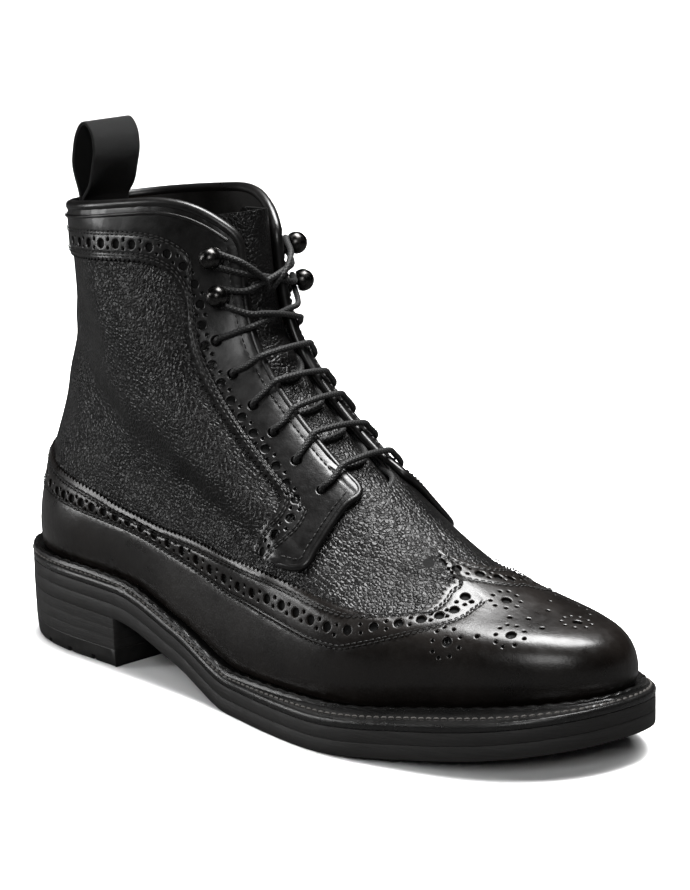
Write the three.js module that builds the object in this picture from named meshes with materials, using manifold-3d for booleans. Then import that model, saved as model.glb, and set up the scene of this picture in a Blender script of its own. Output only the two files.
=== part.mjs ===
// Laced leather ankle boot for the right foot: a hollow upper on a stitched-welt sole.
// Millimetres, +X to the toe, +Y to the inner side, +Z up, floor at z = 0.
import * as THREE from 'three';
import Module from 'manifold-3d';
import { mergeVertices } from 'three/addons/utils/BufferGeometryUtils.js';

const wasm = await Module();
wasm.setup();

// Driving sizes
const LENGTH = 305;
const BALL_WIDTH = 97;
const INSTEP_HEIGHT = 92;
const COLLAR_BACK = 176;
const COLLAR_FRONT = 190;
const HEEL_LENGTH = 77;
const HEEL_HEIGHT = 20.5;
const TOE_SPRING = 12;
const WAIST_HEIGHT = 11.5;
const BALL_FLAT = 48;
const OUTSOLE = 5.8;
const MIDSOLE = 5;
const WELT = 3.2;
const RIB_WIDTH = 2.4;
const RIB_HEIGHT = 1.8;
const RIB_LEAN = 1.3;
const TOP_PIECE = 7.5;
const HEEL_TAPER = 1.2;
const NOTCHES = 4;
const NOTCH_SIZE = 2.4;
const NOTCH_DEPTH = 7;
const WALL = 2.2;
const OVERLAY = 1.3;
const INSOLE = 2.6;
const TONGUE = 2;
const TONGUE_REACH = 25;
const TONGUE_FOOT = 0.5;
const TONGUE_HEAD = 0.975;
const BINDING = 4.2;
const THROAT_TOP = 20;
const THROAT_FOOT = 24;
const THROAT_DROP = 15;
const EYELET = 4;
const EYELET_SETBACK = 9.5;
const HOOK_SETBACK = 6;
const LACE = 2.2;
const LACE_LIFT = 0.4;
const LACE_RISE = 0.043;
const LACE_ARCH = 2;
const HOOK = 8.8;
const HOOK_NECK = 3;
const HOOK_GAP = 3;
const HOOK_FLANGE = 0.8;
const WEBBING = 24;
const WEBBING_THICK = 1.5;
const LOOP_HEIGHT = 31;
const LOOP_DEPTH = 12;
const LOOP_TAIL = 14;
const CLEARANCE = 0.3;

// Mesh fineness
const AROUND = 40;
const LEVELS = 15;
const LACE_FACETS = 5;

const SOLE = OUTSOLE + MIDSOLE + WELT;

// Sections of the last from the feather edge to the collar, evenly spaced up the boot.
// rise, back, front and top place a section's two ends: rise is a share of the height from the
// seat to COLLAR_BACK, back and front are shares of LENGTH, and top is a share of INSTEP_HEIGHT
// over the seat up to 1, and of COLLAR_FRONT over INSTEP_HEIGHT from 1 to 2.
// Widths and swing are shares of BALL_WIDTH, and rounds are shares of the section's length.
const COLUMNS = [
  'rise', 'back', 'front', 'top',
  'outHeel', 'outWaist', 'outBall', 'outToe', 'inHeel', 'inWaist', 'inBall', 'inToe',
  'roundBack', 'roundFront', 'powerBack', 'powerFront', 'swing',
];
const SECTIONS = [
  [0.00, 0.011, 0.962, 0.00, 0.31, 0.395, 0.490, 0.340, 0.34, 0.320, 0.440, 0.350, 0.15, 0.18, 2.2, 2.2, 0.100],
  [0.06, 0.013, 0.971, 0.115, 0.333, 0.397, 0.508, 0.360, 0.355, 0.340, 0.455, 0.352, 0.15, 0.19, 2.2, 2.2, 0.088],
  [0.14, 0.016, 0.950, 0.300, 0.345, 0.385, 0.490, 0.350, 0.350, 0.350, 0.445, 0.325, 0.17, 0.20, 2.2, 2.1, 0.074],
  [0.275, 0.024, 0.858, 0.395, 0.322, 0.362, 0.444, 0.340, 0.320, 0.345, 0.428, 0.300, 0.22, 0.28, 2.2, 2.0, 0.056],
  [0.425, 0.043, 0.724, 0.625, 0.288, 0.340, 0.404, 0.330, 0.290, 0.339, 0.396, 0.305, 0.28, 0.36, 2.1, 2.0, 0.035],
  [0.57, 0.056, 0.583, 1.00, 0.262, 0.340, 0.393, 0.330, 0.263, 0.340, 0.384, 0.315, 0.36, 0.42, 2.0, 2.0, 0.016],
  [0.715, 0.072, 0.456, 1.35, 0.260, 0.345, 0.355, 0.300, 0.268, 0.345, 0.356, 0.300, 0.42, 0.45, 2.0, 2.0, 0],
  [0.86, 0.074, 0.420, 1.685, 0.290, 0.325, 0.305, 0.260, 0.292, 0.325, 0.306, 0.260, 0.45, 0.47, 2.0, 2.0, 0],
  [1.00, 0.079, 0.414, 2.00, 0.328, 0.298, 0.250, 0.215, 0.328, 0.300, 0.252, 0.215, 0.46, 0.48, 2.0, 2.0, 0],
];
const SOLE_OUTLINE = [
  0, 0, 1, 0, 0.407, 0.469, 0.633, 0.542, 0.407, 0.351, 0.539, 0.395, 0.19, 0.18, 2.3, 2.2, 0.088,
];
const STATIONS = [0.12, 0.4, 0.68, 0.88];

// Level at which the overlays stop over the welt
const OVERLAY_FOOT = 0.03;

// Front corners of the top line drop away from this share of the collar's length
const CORNER_START = 0.55;
const CORNER_DROP = 0.095;
const CORNER_POWER = 2.7;

// Borders of the overlays as [level, share of the section's length] on the outer side
const FACING_BORDER = [
  [0.88, 0], [0.885, 0.12], [0.895, 0.46], [0.895, 0.62], [0.885, 0.71], [0.865, 0.755], [0.835, 0.777],
  [0.77, 0.771], [0.705, 0.774], [0.632, 0.784], [0.567, 0.79], [0.537, 0.766], [0.5, 0.713],
  [0.455, 0.65], [0.417, 0.61], [0.415, 0.677], [0.417, 0.719], [0.464, 0.774], [0.499, 0.824],
  [0.537, 0.884], [0.566, 0.935], [0.583, 0.957],
];
const WING_BORDER = [
  [0.41, 0], [0.395, 0.035], [0.376, 0.082], [0.361, 0.192], [0.345, 0.255], [0.341, 0.341], [0.359, 0.438],
  [0.374, 0.53], [0.378, 0.61], [0.37, 0.678], [0.351, 0.725], [0.33, 0.775], [0.331, 0.814],
  [0.361, 0.863], [0.396, 0.905], [0.431, 0.941], [0.46, 0.962], [0.483, 0.976], [0.51, 1],
];
// Levels of the lacing, six eyelets and then two hooks
const EYELET_LEVELS = [0.588, 0.631, 0.669, 0.704, 0.745, 0.792];
const HOOK_LEVELS = [0.872, 0.937];

const colours = {
  calf: { color: 0x1b1918, roughness: 0.35, metalness: 0 },
  grain: { color: 0x201e1d, roughness: 0.5, metalness: 0 },
  edge: { color: 0x3b3a39, roughness: 0.55, metalness: 0 },
  rubber: { color: 0x262626, roughness: 0.8, metalness: 0 },
  cloth: { color: 0x161616, roughness: 0.9, metalness: 0 },
  metal: { color: 0x3f3d3b, roughness: 0.35, metalness: 0.9 },
  insole: { color: 0x8a6b4a, roughness: 0.7, metalness: 0 },
};

// Monotone cubic through [x, y] points, so that a profile never overshoots a point
function monotoneCurve(points) {
  const steps = points.slice(1).map(([x, y], k) => {
    const run = x - points[k][0];
    return { run, slope: (y - points[k][1]) / run };
  });
  const tangent = points.map((point, k) => {
    const before = steps[k - 1];
    const after = steps[k];
    if (!before) return endTangent(after, steps[1]);
    if (!after) return endTangent(before, steps.at(-2));
    if (before.slope * after.slope <= 0) return 0;
    const a = 2 * after.run + before.run;
    const b = after.run + 2 * before.run;
    return (a + b) / (a / before.slope + b / after.slope);
  });
  return (x) => {
    const at = THREE.MathUtils.clamp(x, points[0][0], points.at(-1)[0]);
    const k = Math.min(points.findLastIndex((point) => point[0] <= at), steps.length - 1);
    const run = steps[k].run;
    const t = (at - points[k][0]) / run;
    return hermite(t, points[k][1], points[k + 1][1], tangent[k] * run, tangent[k + 1] * run);
  };
}

function endTangent(end, next) {
  const tangent = ((2 * end.run + next.run) * end.slope - end.run * next.slope) / (end.run + next.run);
  return tangent * end.slope > 0 ? tangent : 0;
}

function hermite(t, from, to, leave, arrive) {
  const t2 = t * t;
  const t3 = t2 * t;
  const blend = 3 * t2 - 2 * t3;
  return from + (to - from) * blend + (t3 - 2 * t2 + t) * leave + (t3 - t2) * arrive;
}

// Natural cubic spline through values spaced evenly from 0 to 1, carried on past both ends
function naturalSpline(values) {
  const last = values.length - 1;
  const bend = new Array(values.length).fill(0);
  const scale = new Array(values.length).fill(0);
  for (let k = 1; k < last; k++) {
    const pivot = 4 - scale[k - 1];
    scale[k] = 1 / pivot;
    bend[k] = (6 * (values[k + 1] - 2 * values[k] + values[k - 1]) - bend[k - 1]) / pivot;
  }
  for (let k = last - 1; k > 0; k--) bend[k] -= scale[k] * bend[k + 1];
  return (share) => {
    const at = share * last;
    const k = THREE.MathUtils.clamp(Math.floor(at), 0, last - 1);
    const b = at - k;
    const a = 1 - b;
    const curve = ((a ** 3 - a) * bend[k] + (b ** 3 - b) * bend[k + 1]) / 6;
    return a * values[k] + b * values[k + 1] + curve;
  };
}

// Height of the sole's underside over the floor
const ballStart = (LENGTH - HEEL_LENGTH) * 0.33 + HEEL_LENGTH;
const soleBottom = monotoneCurve([
  [0, HEEL_HEIGHT + 0.8],
  [HEEL_LENGTH, HEEL_HEIGHT],
  [(HEEL_LENGTH + ballStart) / 2, WAIST_HEIGHT],
  [ballStart, 0],
  [ballStart + BALL_FLAT, 0],
  [(ballStart + BALL_FLAT + LENGTH) / 2, TOE_SPRING * 0.37],
  [LENGTH, TOE_SPRING],
]);

// Share of a section's length at turn 0..1, from the back by the inner side to the front and home
const shareAt = (turn) => (1 - Math.cos(2 * Math.PI * turn)) / 2;
const sideAt = (turn) => (turn - Math.floor(turn) <= 0.5 ? 1 : -1);
const range = (count) => Array.from({ length: count }, (item, k) => k);

// The sole's pieces share this underside, which is straight between the outline's stations
const soleStations = range(AROUND / 2 + 1).map((k) => LENGTH * shareAt(k / AROUND));
function soleLine(x) {
  const k = THREE.MathUtils.clamp(soleStations.findLastIndex((station) => station <= x), 0, AROUND / 2 - 1);
  const share = (x - soleStations[k]) / (soleStations[k + 1] - soleStations[k]);
  return THREE.MathUtils.lerp(soleBottom(soleStations[k]), soleBottom(soleStations[k + 1]), share);
}
const seat = (x) => soleLine(x) + SOLE + 2 * CLEARANCE;

const named = (row) => Object.fromEntries(COLUMNS.map((name, k) => [name, row[k]]));

// Turns a row of shares into millimetres
function sized(row) {
  const section = named(row);
  const back = section.back * LENGTH;
  const front = section.front * LENGTH;
  const low = section.top < 1;
  const foot = low ? seat(LENGTH * SECTIONS[0][2]) : INSTEP_HEIGHT;
  const head = low ? INSTEP_HEIGHT : COLLAR_FRONT;
  const heelSeat = seat(LENGTH * SECTIONS[0][1]);
  const size = { ...section, back, front };
  size.backZ = heelSeat + section.rise * (COLLAR_BACK - heelSeat);
  size.frontZ = foot + (low ? section.top : section.top - 1) * (head - foot);
  const widths = COLUMNS.filter((column) => /^(out|in|swing)/.test(column));
  for (const name of widths) size[name] = section[name] * BALL_WIDTH;
  return size;
}

const sizedSections = SECTIONS.map(sized);
const sectionCurves = Object.fromEntries(Object.keys(sizedSections[0]).map((name) => (
  [name, naturalSpline(sizedSections.map((section) => section[name]))]
)));
const sectionAt = (level) => Object.fromEntries(
  Object.entries(sectionCurves).map(([name, curve]) => [name, curve(level)]),
);

// Half width of a section at share q of its length, through four stations and two rounded ends
function halfWidth(section, q, side) {
  const prefix = side > 0 ? 'in' : 'out';
  const widths = ['Heel', 'Waist', 'Ball', 'Toe'].map((name) => section[prefix + name]);
  const slope = (a, b) => (widths[b] - widths[a]) / (STATIONS[b] - STATIONS[a]);
  const slopes = [0, slope(0, 2), slope(1, 3), slope(2, 3) * 0.6];
  let half = widths[0];
  if (q > STATIONS[3]) {
    half = widths[3] + slopes[3] * (q - STATIONS[3]);
  } else if (q > STATIONS[0]) {
    const k = STATIONS.findLastIndex((station) => station < q);
    const run = STATIONS[k + 1] - STATIONS[k];
    half = hermite((q - STATIONS[k]) / run, widths[k], widths[k + 1], slopes[k] * run, slopes[k + 1] * run);
  }
  const backRound = endRound(q, section.roundBack, section.powerBack);
  return half * backRound * endRound(1 - q, section.roundFront, section.powerFront);
}

function endRound(q, share, power) {
  if (q >= share) return 1;
  return (1 - (1 - Math.max(q, 0) / share) ** power) ** (1 / power);
}

function sectionPoint(section, q, side) {
  const x = THREE.MathUtils.lerp(section.back, section.front, q);
  const centre = section.swing * THREE.MathUtils.clamp((q - 0.35) / 0.65, 0, 1) ** 2;
  return { x, y: centre + side * halfWidth(section, q, side) };
}

// The last's surface. Low sections follow the curve of the sole's top.
const seatBack = seat(sizedSections[0].back);
const seatFront = seat(sizedSections[0].front);
function lastPoint(level, q, side) {
  const section = sectionAt(level);
  const { x, y } = sectionPoint(section, q, side);
  const follow = THREE.MathUtils.clamp(1 - level / 0.6, 0, 1) ** 1.4;
  const curve = seat(x) - THREE.MathUtils.lerp(seatBack, seatFront, q);
  return new THREE.Vector3(x, y, THREE.MathUtils.lerp(section.backZ, section.frontZ, q) + curve * follow);
}

const cornerShare = (q) => THREE.MathUtils.clamp((q - CORNER_START) / (1 - CORNER_START), 0, 1);
const topLevel = (q) => 1 - CORNER_DROP * cornerShare(q) ** CORNER_POWER;

// A level that is bent down at the front corners as it nears the top line
const bentLevel = (level, q) => level - (1 - topLevel(q)) * level ** 4;

function lastAtTurn(turn, level, bend) {
  const q = shareAt(turn);
  return lastPoint(bend(level, q), q, sideAt(turn));
}

// Point, outward normal and upward tangent of the last, moved outward by offset
function skin(turn, level, offset = 0, bend = bentLevel) {
  const step = 0.004;
  const along = lastAtTurn(turn + step, level, bend).sub(lastAtTurn(turn - step, level, bend));
  const up = lastAtTurn(turn, level + step, bend).sub(lastAtTurn(turn, level - step, bend)).normalize();
  const normal = up.clone().cross(along).normalize();
  const point = lastAtTurn(turn, level, bend).addScaledVector(normal, offset);
  return { point, normal, up };
}

// Turn at which a level is as far from the middle plane as reach, on one side of the front
function turnAtReach(level, side, reach, bend = bentLevel) {
  let near = 0.5;
  let far = 0.5 - side * 0.24;
  for (let k = 0; k < 30; k++) {
    const middle = (near + far) / 2;
    const q = shareAt(middle);
    const section = sectionAt(bend(level, q));
    if (halfWidth(section, q, side) > reach) far = middle;
    else near = middle;
  }
  return (near + far) / 2;
}

// Closed geometry from rings of equal count. A closed loft joins its last ring to its first,
// an open one has a cap on each end ring, in strips from its left points to its right points.
// From the ring called fold on, faces are split the other way, to match those that they face.
function loft(rings, closed = false, fold = rings.length) {
  const count = rings[0].length;
  const positions = rings.flat().flatMap((point) => point.toArray());
  const index = [];
  const spans = closed ? rings.length : rings.length - 1;
  for (let r = 0; r < spans; r++) {
    const low = r * count;
    const high = ((r + 1) % rings.length) * count;
    for (let k = 0; k < count; k++) {
      const next = (k + 1) % count;
      if (r < fold) index.push(low + k, low + next, high + next, low + k, high + next, high + k);
      else index.push(low + k, low + next, high + k, low + next, high + next, high + k);
    }
  }
  if (!closed) {
    index.push(...cap(count));
    index.push(...cap(count).reverse().map((k) => k + (rings.length - 1) * count));
  }
  const geometry = new THREE.BufferGeometry();
  geometry.setAttribute('position', new THREE.Float32BufferAttribute(positions, 3));
  geometry.setIndex(index);
  return outward(geometry);
}

function cap(count) {
  const faces = [];
  for (let k = 0; k < (count - 1) / 2; k++) {
    const left = (count - k) % count;
    const nextLeft = count - k - 1;
    if (k + 1 !== nextLeft) faces.push(k, nextLeft, k + 1);
    if (k !== left) faces.push(k, left, nextLeft);
  }
  return faces;
}

// Turns all faces round where their volume comes out negative
function outward(geometry) {
  const at = geometry.getAttribute('position');
  const corners = [0, 1, 2].map(() => new THREE.Vector3());
  const index = Array.from(geometry.index.array);
  let volume = 0;
  for (let k = 0; k < index.length; k += 3) {
    corners.forEach((corner, j) => corner.fromBufferAttribute(at, index[k + j]));
    volume += corners[0].dot(corners[1].clone().cross(corners[2]));
  }
  if (volume < 0) geometry.setIndex(index.reverse());
  return geometry;
}

function solid(geometry) {
  const plain = geometry.clone();
  plain.deleteAttribute('normal');
  plain.deleteAttribute('uv');
  const merged = mergeVertices(plain, 1e-4);
  return new wasm.Manifold(new wasm.Mesh({
    numProp: 3,
    vertProperties: new Float32Array(merged.getAttribute('position').array),
    triVerts: new Uint32Array(merged.index.array),
  }));
}

function geometryOf(body) {
  const mesh = body.getMesh();
  const geometry = new THREE.BufferGeometry();
  geometry.setAttribute('position', new THREE.BufferAttribute(new Float32Array(mesh.vertProperties), 3));
  geometry.setIndex(new THREE.BufferAttribute(new Uint32Array(mesh.triVerts), 1));
  return geometry;
}

const boot = new THREE.Group();
function add(name, geometry, colour) {
  geometry.computeVertexNormals();
  const mesh = new THREE.Mesh(geometry, new THREE.MeshStandardMaterial(colours[colour]));
  mesh.name = name;
  boot.add(mesh);
}

// Shell between two offsets of the last, from one level to another
function shell(outer, inner, lowLevel = 0, highLevel = 1) {
  const levels = range(LEVELS + 1).map((k) => k / LEVELS);
  const stack = [lowLevel, ...levels.filter((level) => level > lowLevel && level < highLevel), highLevel];
  const ring = (level, offset) => range(AROUND).map((k) => skin(k / AROUND, level, offset).point);
  const outside = stack.map((level) => ring(level, outer));
  const inside = stack.map((level) => ring(level, inner)).reverse();
  return loft([...outside, ...inside], true, stack.length);
}

// Prism through the whole boot from a border that is drawn in the side view
function sideCutter(points) {
  const shape = new THREE.Shape(points.map((point) => new THREE.Vector2(point.x, point.z)));
  const cutter = new THREE.ExtrudeGeometry(shape, { depth: 2 * BALL_WIDTH, bevelEnabled: false });
  cutter.rotateX(Math.PI / 2);
  cutter.translate(0, BALL_WIDTH, 0);
  return solid(cutter);
}

// Prism along the boot that opens the throat between two heights
function throatCutter(widen, bottom) {
  const foot = THROAT_FOOT / 2 + widen;
  const head = THROAT_TOP / 2 + widen;
  const swing = sizedSections[5].swing;
  const top = COLLAR_FRONT + BINDING * 2;
  const shape = new THREE.Shape();
  shape.moveTo(-head, top);
  shape.lineTo(-foot + swing, bottom + foot);
  shape.absarc(swing, bottom + foot, foot, Math.PI, 2 * Math.PI, false);
  shape.lineTo(head, top);
  const start = THREE.MathUtils.lerp(sizedSections.at(-1).back, sizedSections.at(-1).front, 0.6);
  const cutter = new THREE.ExtrudeGeometry(shape, { depth: LENGTH, bevelEnabled: false, curveSegments: 6 });
  cutter.rotateX(Math.PI / 2);
  cutter.rotateZ(Math.PI / 2);
  cutter.translate(start, 0, 0);
  return solid(cutter);
}

function alongNormal(geometry, { point, normal }) {
  geometry.applyQuaternion(new THREE.Quaternion().setFromUnitVectors(new THREE.Vector3(0, 1, 0), normal));
  return geometry.translate(point.x, point.y, point.z);
}

// Where an eyelet or hook sits, offset outward from the last
const throatEdge = (level) => THREE.MathUtils.lerp(
  THROAT_FOOT / 2, THROAT_TOP / 2, (level - EYELET_LEVELS[0]) / (1 - EYELET_LEVELS[0]),
);
function laceSeat(level, side, offset = 0, setback = EYELET_SETBACK) {
  return skin(turnAtReach(level, side, throatEdge(level) + setback), level, offset);
}

const sides = [-1, 1];
const eyeletCutters = EYELET_LEVELS.flatMap((level) => sides.map((side) => {
  const hole = new THREE.CylinderGeometry(EYELET / 2, EYELET / 2, 6 * WALL, 8);
  return solid(alongNormal(hole, laceSeat(level, side)));
}));
const cutAll = (body, cutters) => cutters.reduce((left, cutter) => left.subtract(cutter), body);

// Upper
const throatFoot = INSTEP_HEIGHT - THROAT_DROP;
const upper = cutAll(solid(shell(0, -WALL)), [throatCutter(0, throatFoot), ...eyeletCutters]);
add('upper', geometryOf(upper), 'grain');

// Overlays
const sideView = (border) => border.map(([level, q]) => lastPoint(level, q, -1));
function overlay(border, close) {
  const skinShell = solid(shell(CLEARANCE + OVERLAY, CLEARANCE, OVERLAY_FOOT));
  return skinShell.intersect(sideCutter([...sideView(border), ...close]));
}
const corner = (x, z) => new THREE.Vector3(x, 0, z);
const high = COLLAR_FRONT + BINDING;
const facingFront = sideView(FACING_BORDER).at(-1);
const facing = overlay(FACING_BORDER, [
  corner(facingFront.x, facingFront.z + WALL), corner(facingFront.x + 2 * OVERLAY, INSTEP_HEIGHT + OVERLAY),
  corner(facingFront.x, high), corner(-WALL * 4, high), corner(-WALL * 4, sideView(FACING_BORDER)[0].z),
]);
add('facing', geometryOf(cutAll(facing, [throatCutter(0, -INSTEP_HEIGHT), ...eyeletCutters])), 'calf');
const wing = overlay(WING_BORDER, [
  corner(sideView(WING_BORDER).at(-1).x, INSTEP_HEIGHT), corner(LENGTH, INSTEP_HEIGHT), corner(LENGTH, 0),
  corner(-WALL * 4, 0), corner(-WALL * 4, sideView(WING_BORDER)[0].z),
]);
add('wing', geometryOf(wing), 'calf');

// Round cord through path points, with a ring square to the path at each point
function cord(path, radius) {
  const direction = (k) => {
    const before = path[Math.max(k - 1, 0)];
    const after = path[Math.min(k + 1, path.length - 1)];
    return after.clone().sub(before).normalize();
  };
  let across = new THREE.Vector3(0, 0, 1).cross(direction(0)).normalize();
  return loft(path.map((point, k) => {
    const along = direction(k);
    across = across.addScaledVector(along, -across.dot(along)).normalize();
    const third = along.clone().cross(across);
    return range(LACE_FACETS).map((j) => {
      const angle = (2 * Math.PI * j) / LACE_FACETS;
      return point.clone()
        .addScaledVector(across, radius * Math.cos(angle))
        .addScaledVector(third, radius * Math.sin(angle));
    });
  }));
}

// Round cord or roll along a smooth path
function pipe(path, radius, steps, facets = 8) {
  const round = new THREE.Shape(range(facets).map((k) => new THREE.Vector2(
    radius * Math.cos((2 * Math.PI * k) / facets),
    radius * Math.sin((2 * Math.PI * k) / facets),
  )));
  const curve = new THREE.CatmullRomCurve3(path);
  return new THREE.ExtrudeGeometry(round, { extrudePath: curve, steps, bevelEnabled: false });
}

// Rolled binding along the top line, over the edges of the wall and the facing
const bindingRadius = BINDING / 2;
const bindingMiddle = (OVERLAY + CLEARANCE - WALL) / 2;
function binding() {
  const end = turnAtReach(1, 1, THROAT_TOP / 2 + CLEARANCE);
  const stations = range(AROUND).map((k) => k / AROUND - 0.5).filter((turn) => Math.abs(turn) < end - 0.01);
  return loft([-end, ...stations, end].map((turn) => {
    const { point, up, normal } = skin(turn, 1);
    return range(6).map((k) => {
      const angle = (Math.PI * k) / 3;
      return point.clone()
        .addScaledVector(up, bindingRadius * (1 + Math.sin(angle)) + CLEARANCE)
        .addScaledVector(normal, bindingMiddle + bindingRadius * Math.cos(angle));
    });
  }));
}
add('collar_binding', binding(), 'calf');

// Tongue, a strip behind the throat that follows the last straight up
const unbent = (level) => level;
function tongue() {
  const outer = -WALL - 2 * CLEARANCE;
  const columns = 8;
  const row = (level, offset) => range(columns + 1).map((k) => {
    const turns = sides.map((side) => turnAtReach(level, -side, TONGUE_REACH, unbent));
    return skin(THREE.MathUtils.lerp(...turns, k / columns), level, offset, unbent).point;
  });
  const rings = range(11).map((k) => {
    const level = THREE.MathUtils.lerp(TONGUE_FOOT, TONGUE_HEAD, k / 10);
    return [...row(level, outer), ...row(level, outer - TONGUE).reverse()];
  });
  return loft(rings);
}
add('tongue', tongue(), 'grain');

// Rings of the sole, from an outline that starts at the back and runs by the inner side
function insetRing(outline, inset, height) {
  return outline.map((point, k) => {
    const before = outline.at(k - 1);
    const after = outline[(k + 1) % outline.length];
    const along = new THREE.Vector2(after.x - before.x, after.y - before.y).normalize();
    const x = point.x + along.y * inset;
    return new THREE.Vector3(x, point.y - along.x * inset, height(x));
  });
}
const wholeOutline = (section) => range(AROUND).map((k) => (
  sectionPoint(section, shareAt(k / AROUND), sideAt(k / AROUND))
));
const soleRow = { ...sized(SOLE_OUTLINE), back: 0, front: LENGTH };
const soleOutline = wholeOutline(soleRow);
const featherOutline = wholeOutline(sizedSections[0]);
const raised = (height) => (x) => soleLine(x) + height;
const plate = (outline, inset, low, high) => loft([
  insetRing(outline, inset, raised(low)),
  insetRing(outline, inset, raised(high)),
]);

const weltLow = OUTSOLE + MIDSOLE;
add('outsole', plate(soleOutline, 0, 0, OUTSOLE - CLEARANCE), 'rubber');
add('midsole', plate(soleOutline, 0, OUTSOLE, weltLow - CLEARANCE), 'edge');
const insoleLow = SOLE + CLEARANCE;
add('insole', plate(featherOutline, WALL + 2 * CLEARANCE, insoleLow, insoleLow + INSOLE), 'insole');

// Welt with the filler inside it, under a rib that stands against the upper
const ribInside = -(2 * CLEARANCE + OVERLAY + RIB_LEAN);
const ribOutside = ribInside - RIB_WIDTH;
add('welt', loft([
  insetRing(soleOutline, 0, raised(weltLow)),
  insetRing(soleOutline, 0, raised(SOLE)),
  insetRing(featherOutline, ribOutside, raised(SOLE)),
  insetRing(featherOutline, ribOutside, raised(SOLE + RIB_HEIGHT)),
  insetRing(featherOutline, ribInside, raised(SOLE + RIB_HEIGHT)),
  insetRing(featherOutline, ribInside, raised(SOLE)),
]), 'edge');

// Heel, a stack of lifts on a rubber top piece with notches in its edge
const heelShare = HEEL_LENGTH / LENGTH;
const heelSide = (side) => range(AROUND / 4).map((k) => (
  sectionPoint(soleRow, heelShare * (1 - Math.cos((Math.PI * (k + 1)) / (AROUND / 2))), side)
));
const heelOutline = [sectionPoint(soleRow, 0, 1), ...heelSide(1), ...heelSide(-1).reverse()];
const heelInset = (height) => HEEL_TAPER * (1 - height / HEEL_HEIGHT);
const flat = (height) => () => height;
add('heel_stack', loft([
  insetRing(heelOutline, heelInset(TOP_PIECE), flat(TOP_PIECE)),
  insetRing(heelOutline, 0, raised(-CLEARANCE)),
]), 'edge');
const topPiece = loft([
  insetRing(heelOutline, heelInset(0), flat(0)),
  insetRing(heelOutline, heelInset(TOP_PIECE), flat(TOP_PIECE - CLEARANCE)),
]);
const notchCutters = range(NOTCHES).flatMap((k) => sides.map((side) => {
  const { x, y } = sectionPoint(soleRow, (heelShare * (k + 1)) / (NOTCHES + 1), side);
  const notch = new THREE.BoxGeometry(NOTCH_SIZE, NOTCH_DEPTH * 2, NOTCH_SIZE * 2);
  return solid(notch.translate(x, y, 0));
}));
add('heel_top_piece', geometryOf(cutAll(solid(topPiece), notchCutters)), 'rubber');

// Hooks, each a ball on a neck over a flange
function hook() {
  const radius = HOOK / 2;
  const neckTop = HOOK_FLANGE + HOOK_GAP;
  const ballMiddle = neckTop + radius * 0.5;
  const ball = [-30, -3, 24, 54].map((degrees) => {
    const angle = THREE.MathUtils.degToRad(degrees);
    return new THREE.Vector2(radius * Math.cos(angle), ballMiddle + radius * Math.sin(angle));
  });
  const profile = [
    new THREE.Vector2(0, 0),
    new THREE.Vector2(radius - CLEARANCE, 0), new THREE.Vector2(radius - CLEARANCE, HOOK_FLANGE),
    new THREE.Vector2(HOOK_NECK / 2, HOOK_FLANGE), new THREE.Vector2(HOOK_NECK / 2, neckTop),
    ...ball, new THREE.Vector2(0, ballMiddle + radius),
  ];
  return new THREE.LatheGeometry(profile, 8);
}
const facingSkin = 2 * CLEARANCE + OVERLAY;
HOOK_LEVELS.forEach((hookLevel, k) => sides.forEach((side) => {
  const place = laceSeat(hookLevel, side, facingSkin + CLEARANCE, HOOK_SETBACK);
  add(`hook_${side > 0 ? 'inner' : 'outer'}_${k + 1}`, alongNormal(hook(), place), 'metal');
}));

// Lace. It lies on the facing, spans the throat and runs round the hooks' necks.
const onFacing = facingSkin + LACE / 2 + LACE_LIFT;
const overFlange = facingSkin + CLEARANCE + HOOK_FLANGE + HOOK_GAP / 2;
const inThroat = LACE / 2 - WALL + LACE_LIFT;
// Point of the lace, as far from the middle plane as a share of the throat's edge plus a distance
function lacePoint(laceLevel, side, share, distance, offset) {
  const reach = throatEdge(laceLevel) * share + distance;
  return skin(turnAtReach(laceLevel, side, reach), laceLevel, offset).point;
}
const overEdge = (laceLevel, side, offset = onFacing + 2 * LACE_LIFT) => (
  lacePoint(laceLevel, side, 1, -LACE_LIFT, offset)
);

// Middle of a stretch that spans the throat from edge to edge, with a slight arch
function overGap(from, to, laceLevel) {
  return from.clone().lerp(to, 0.5).addScaledVector(skin(0.5, laceLevel, 0).normal, LACE_ARCH);
}
// From an eyelet the lace rises square to the throat, so it meets the edge at a higher level
const fromEyelet = (eyeletLevel, side) => [
  laceSeat(eyeletLevel, side, onFacing).point,
  lacePoint(eyeletLevel + LACE_RISE * 0.4, side, 1, EYELET_SETBACK * 0.6, onFacing),
  lacePoint(eyeletLevel + LACE_RISE * 0.75, side, 1, EYELET_SETBACK * 0.25, onFacing + LACE_LIFT / 2),
  overEdge(eyeletLevel + LACE_RISE, side),
];
function bar(barLevel) {
  const outer = fromEyelet(barLevel, -1);
  const inner = fromEyelet(barLevel, 1);
  return [...outer, overGap(outer.at(-1), inner.at(-1), barLevel + LACE_RISE), ...inner.reverse()];
}

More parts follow.
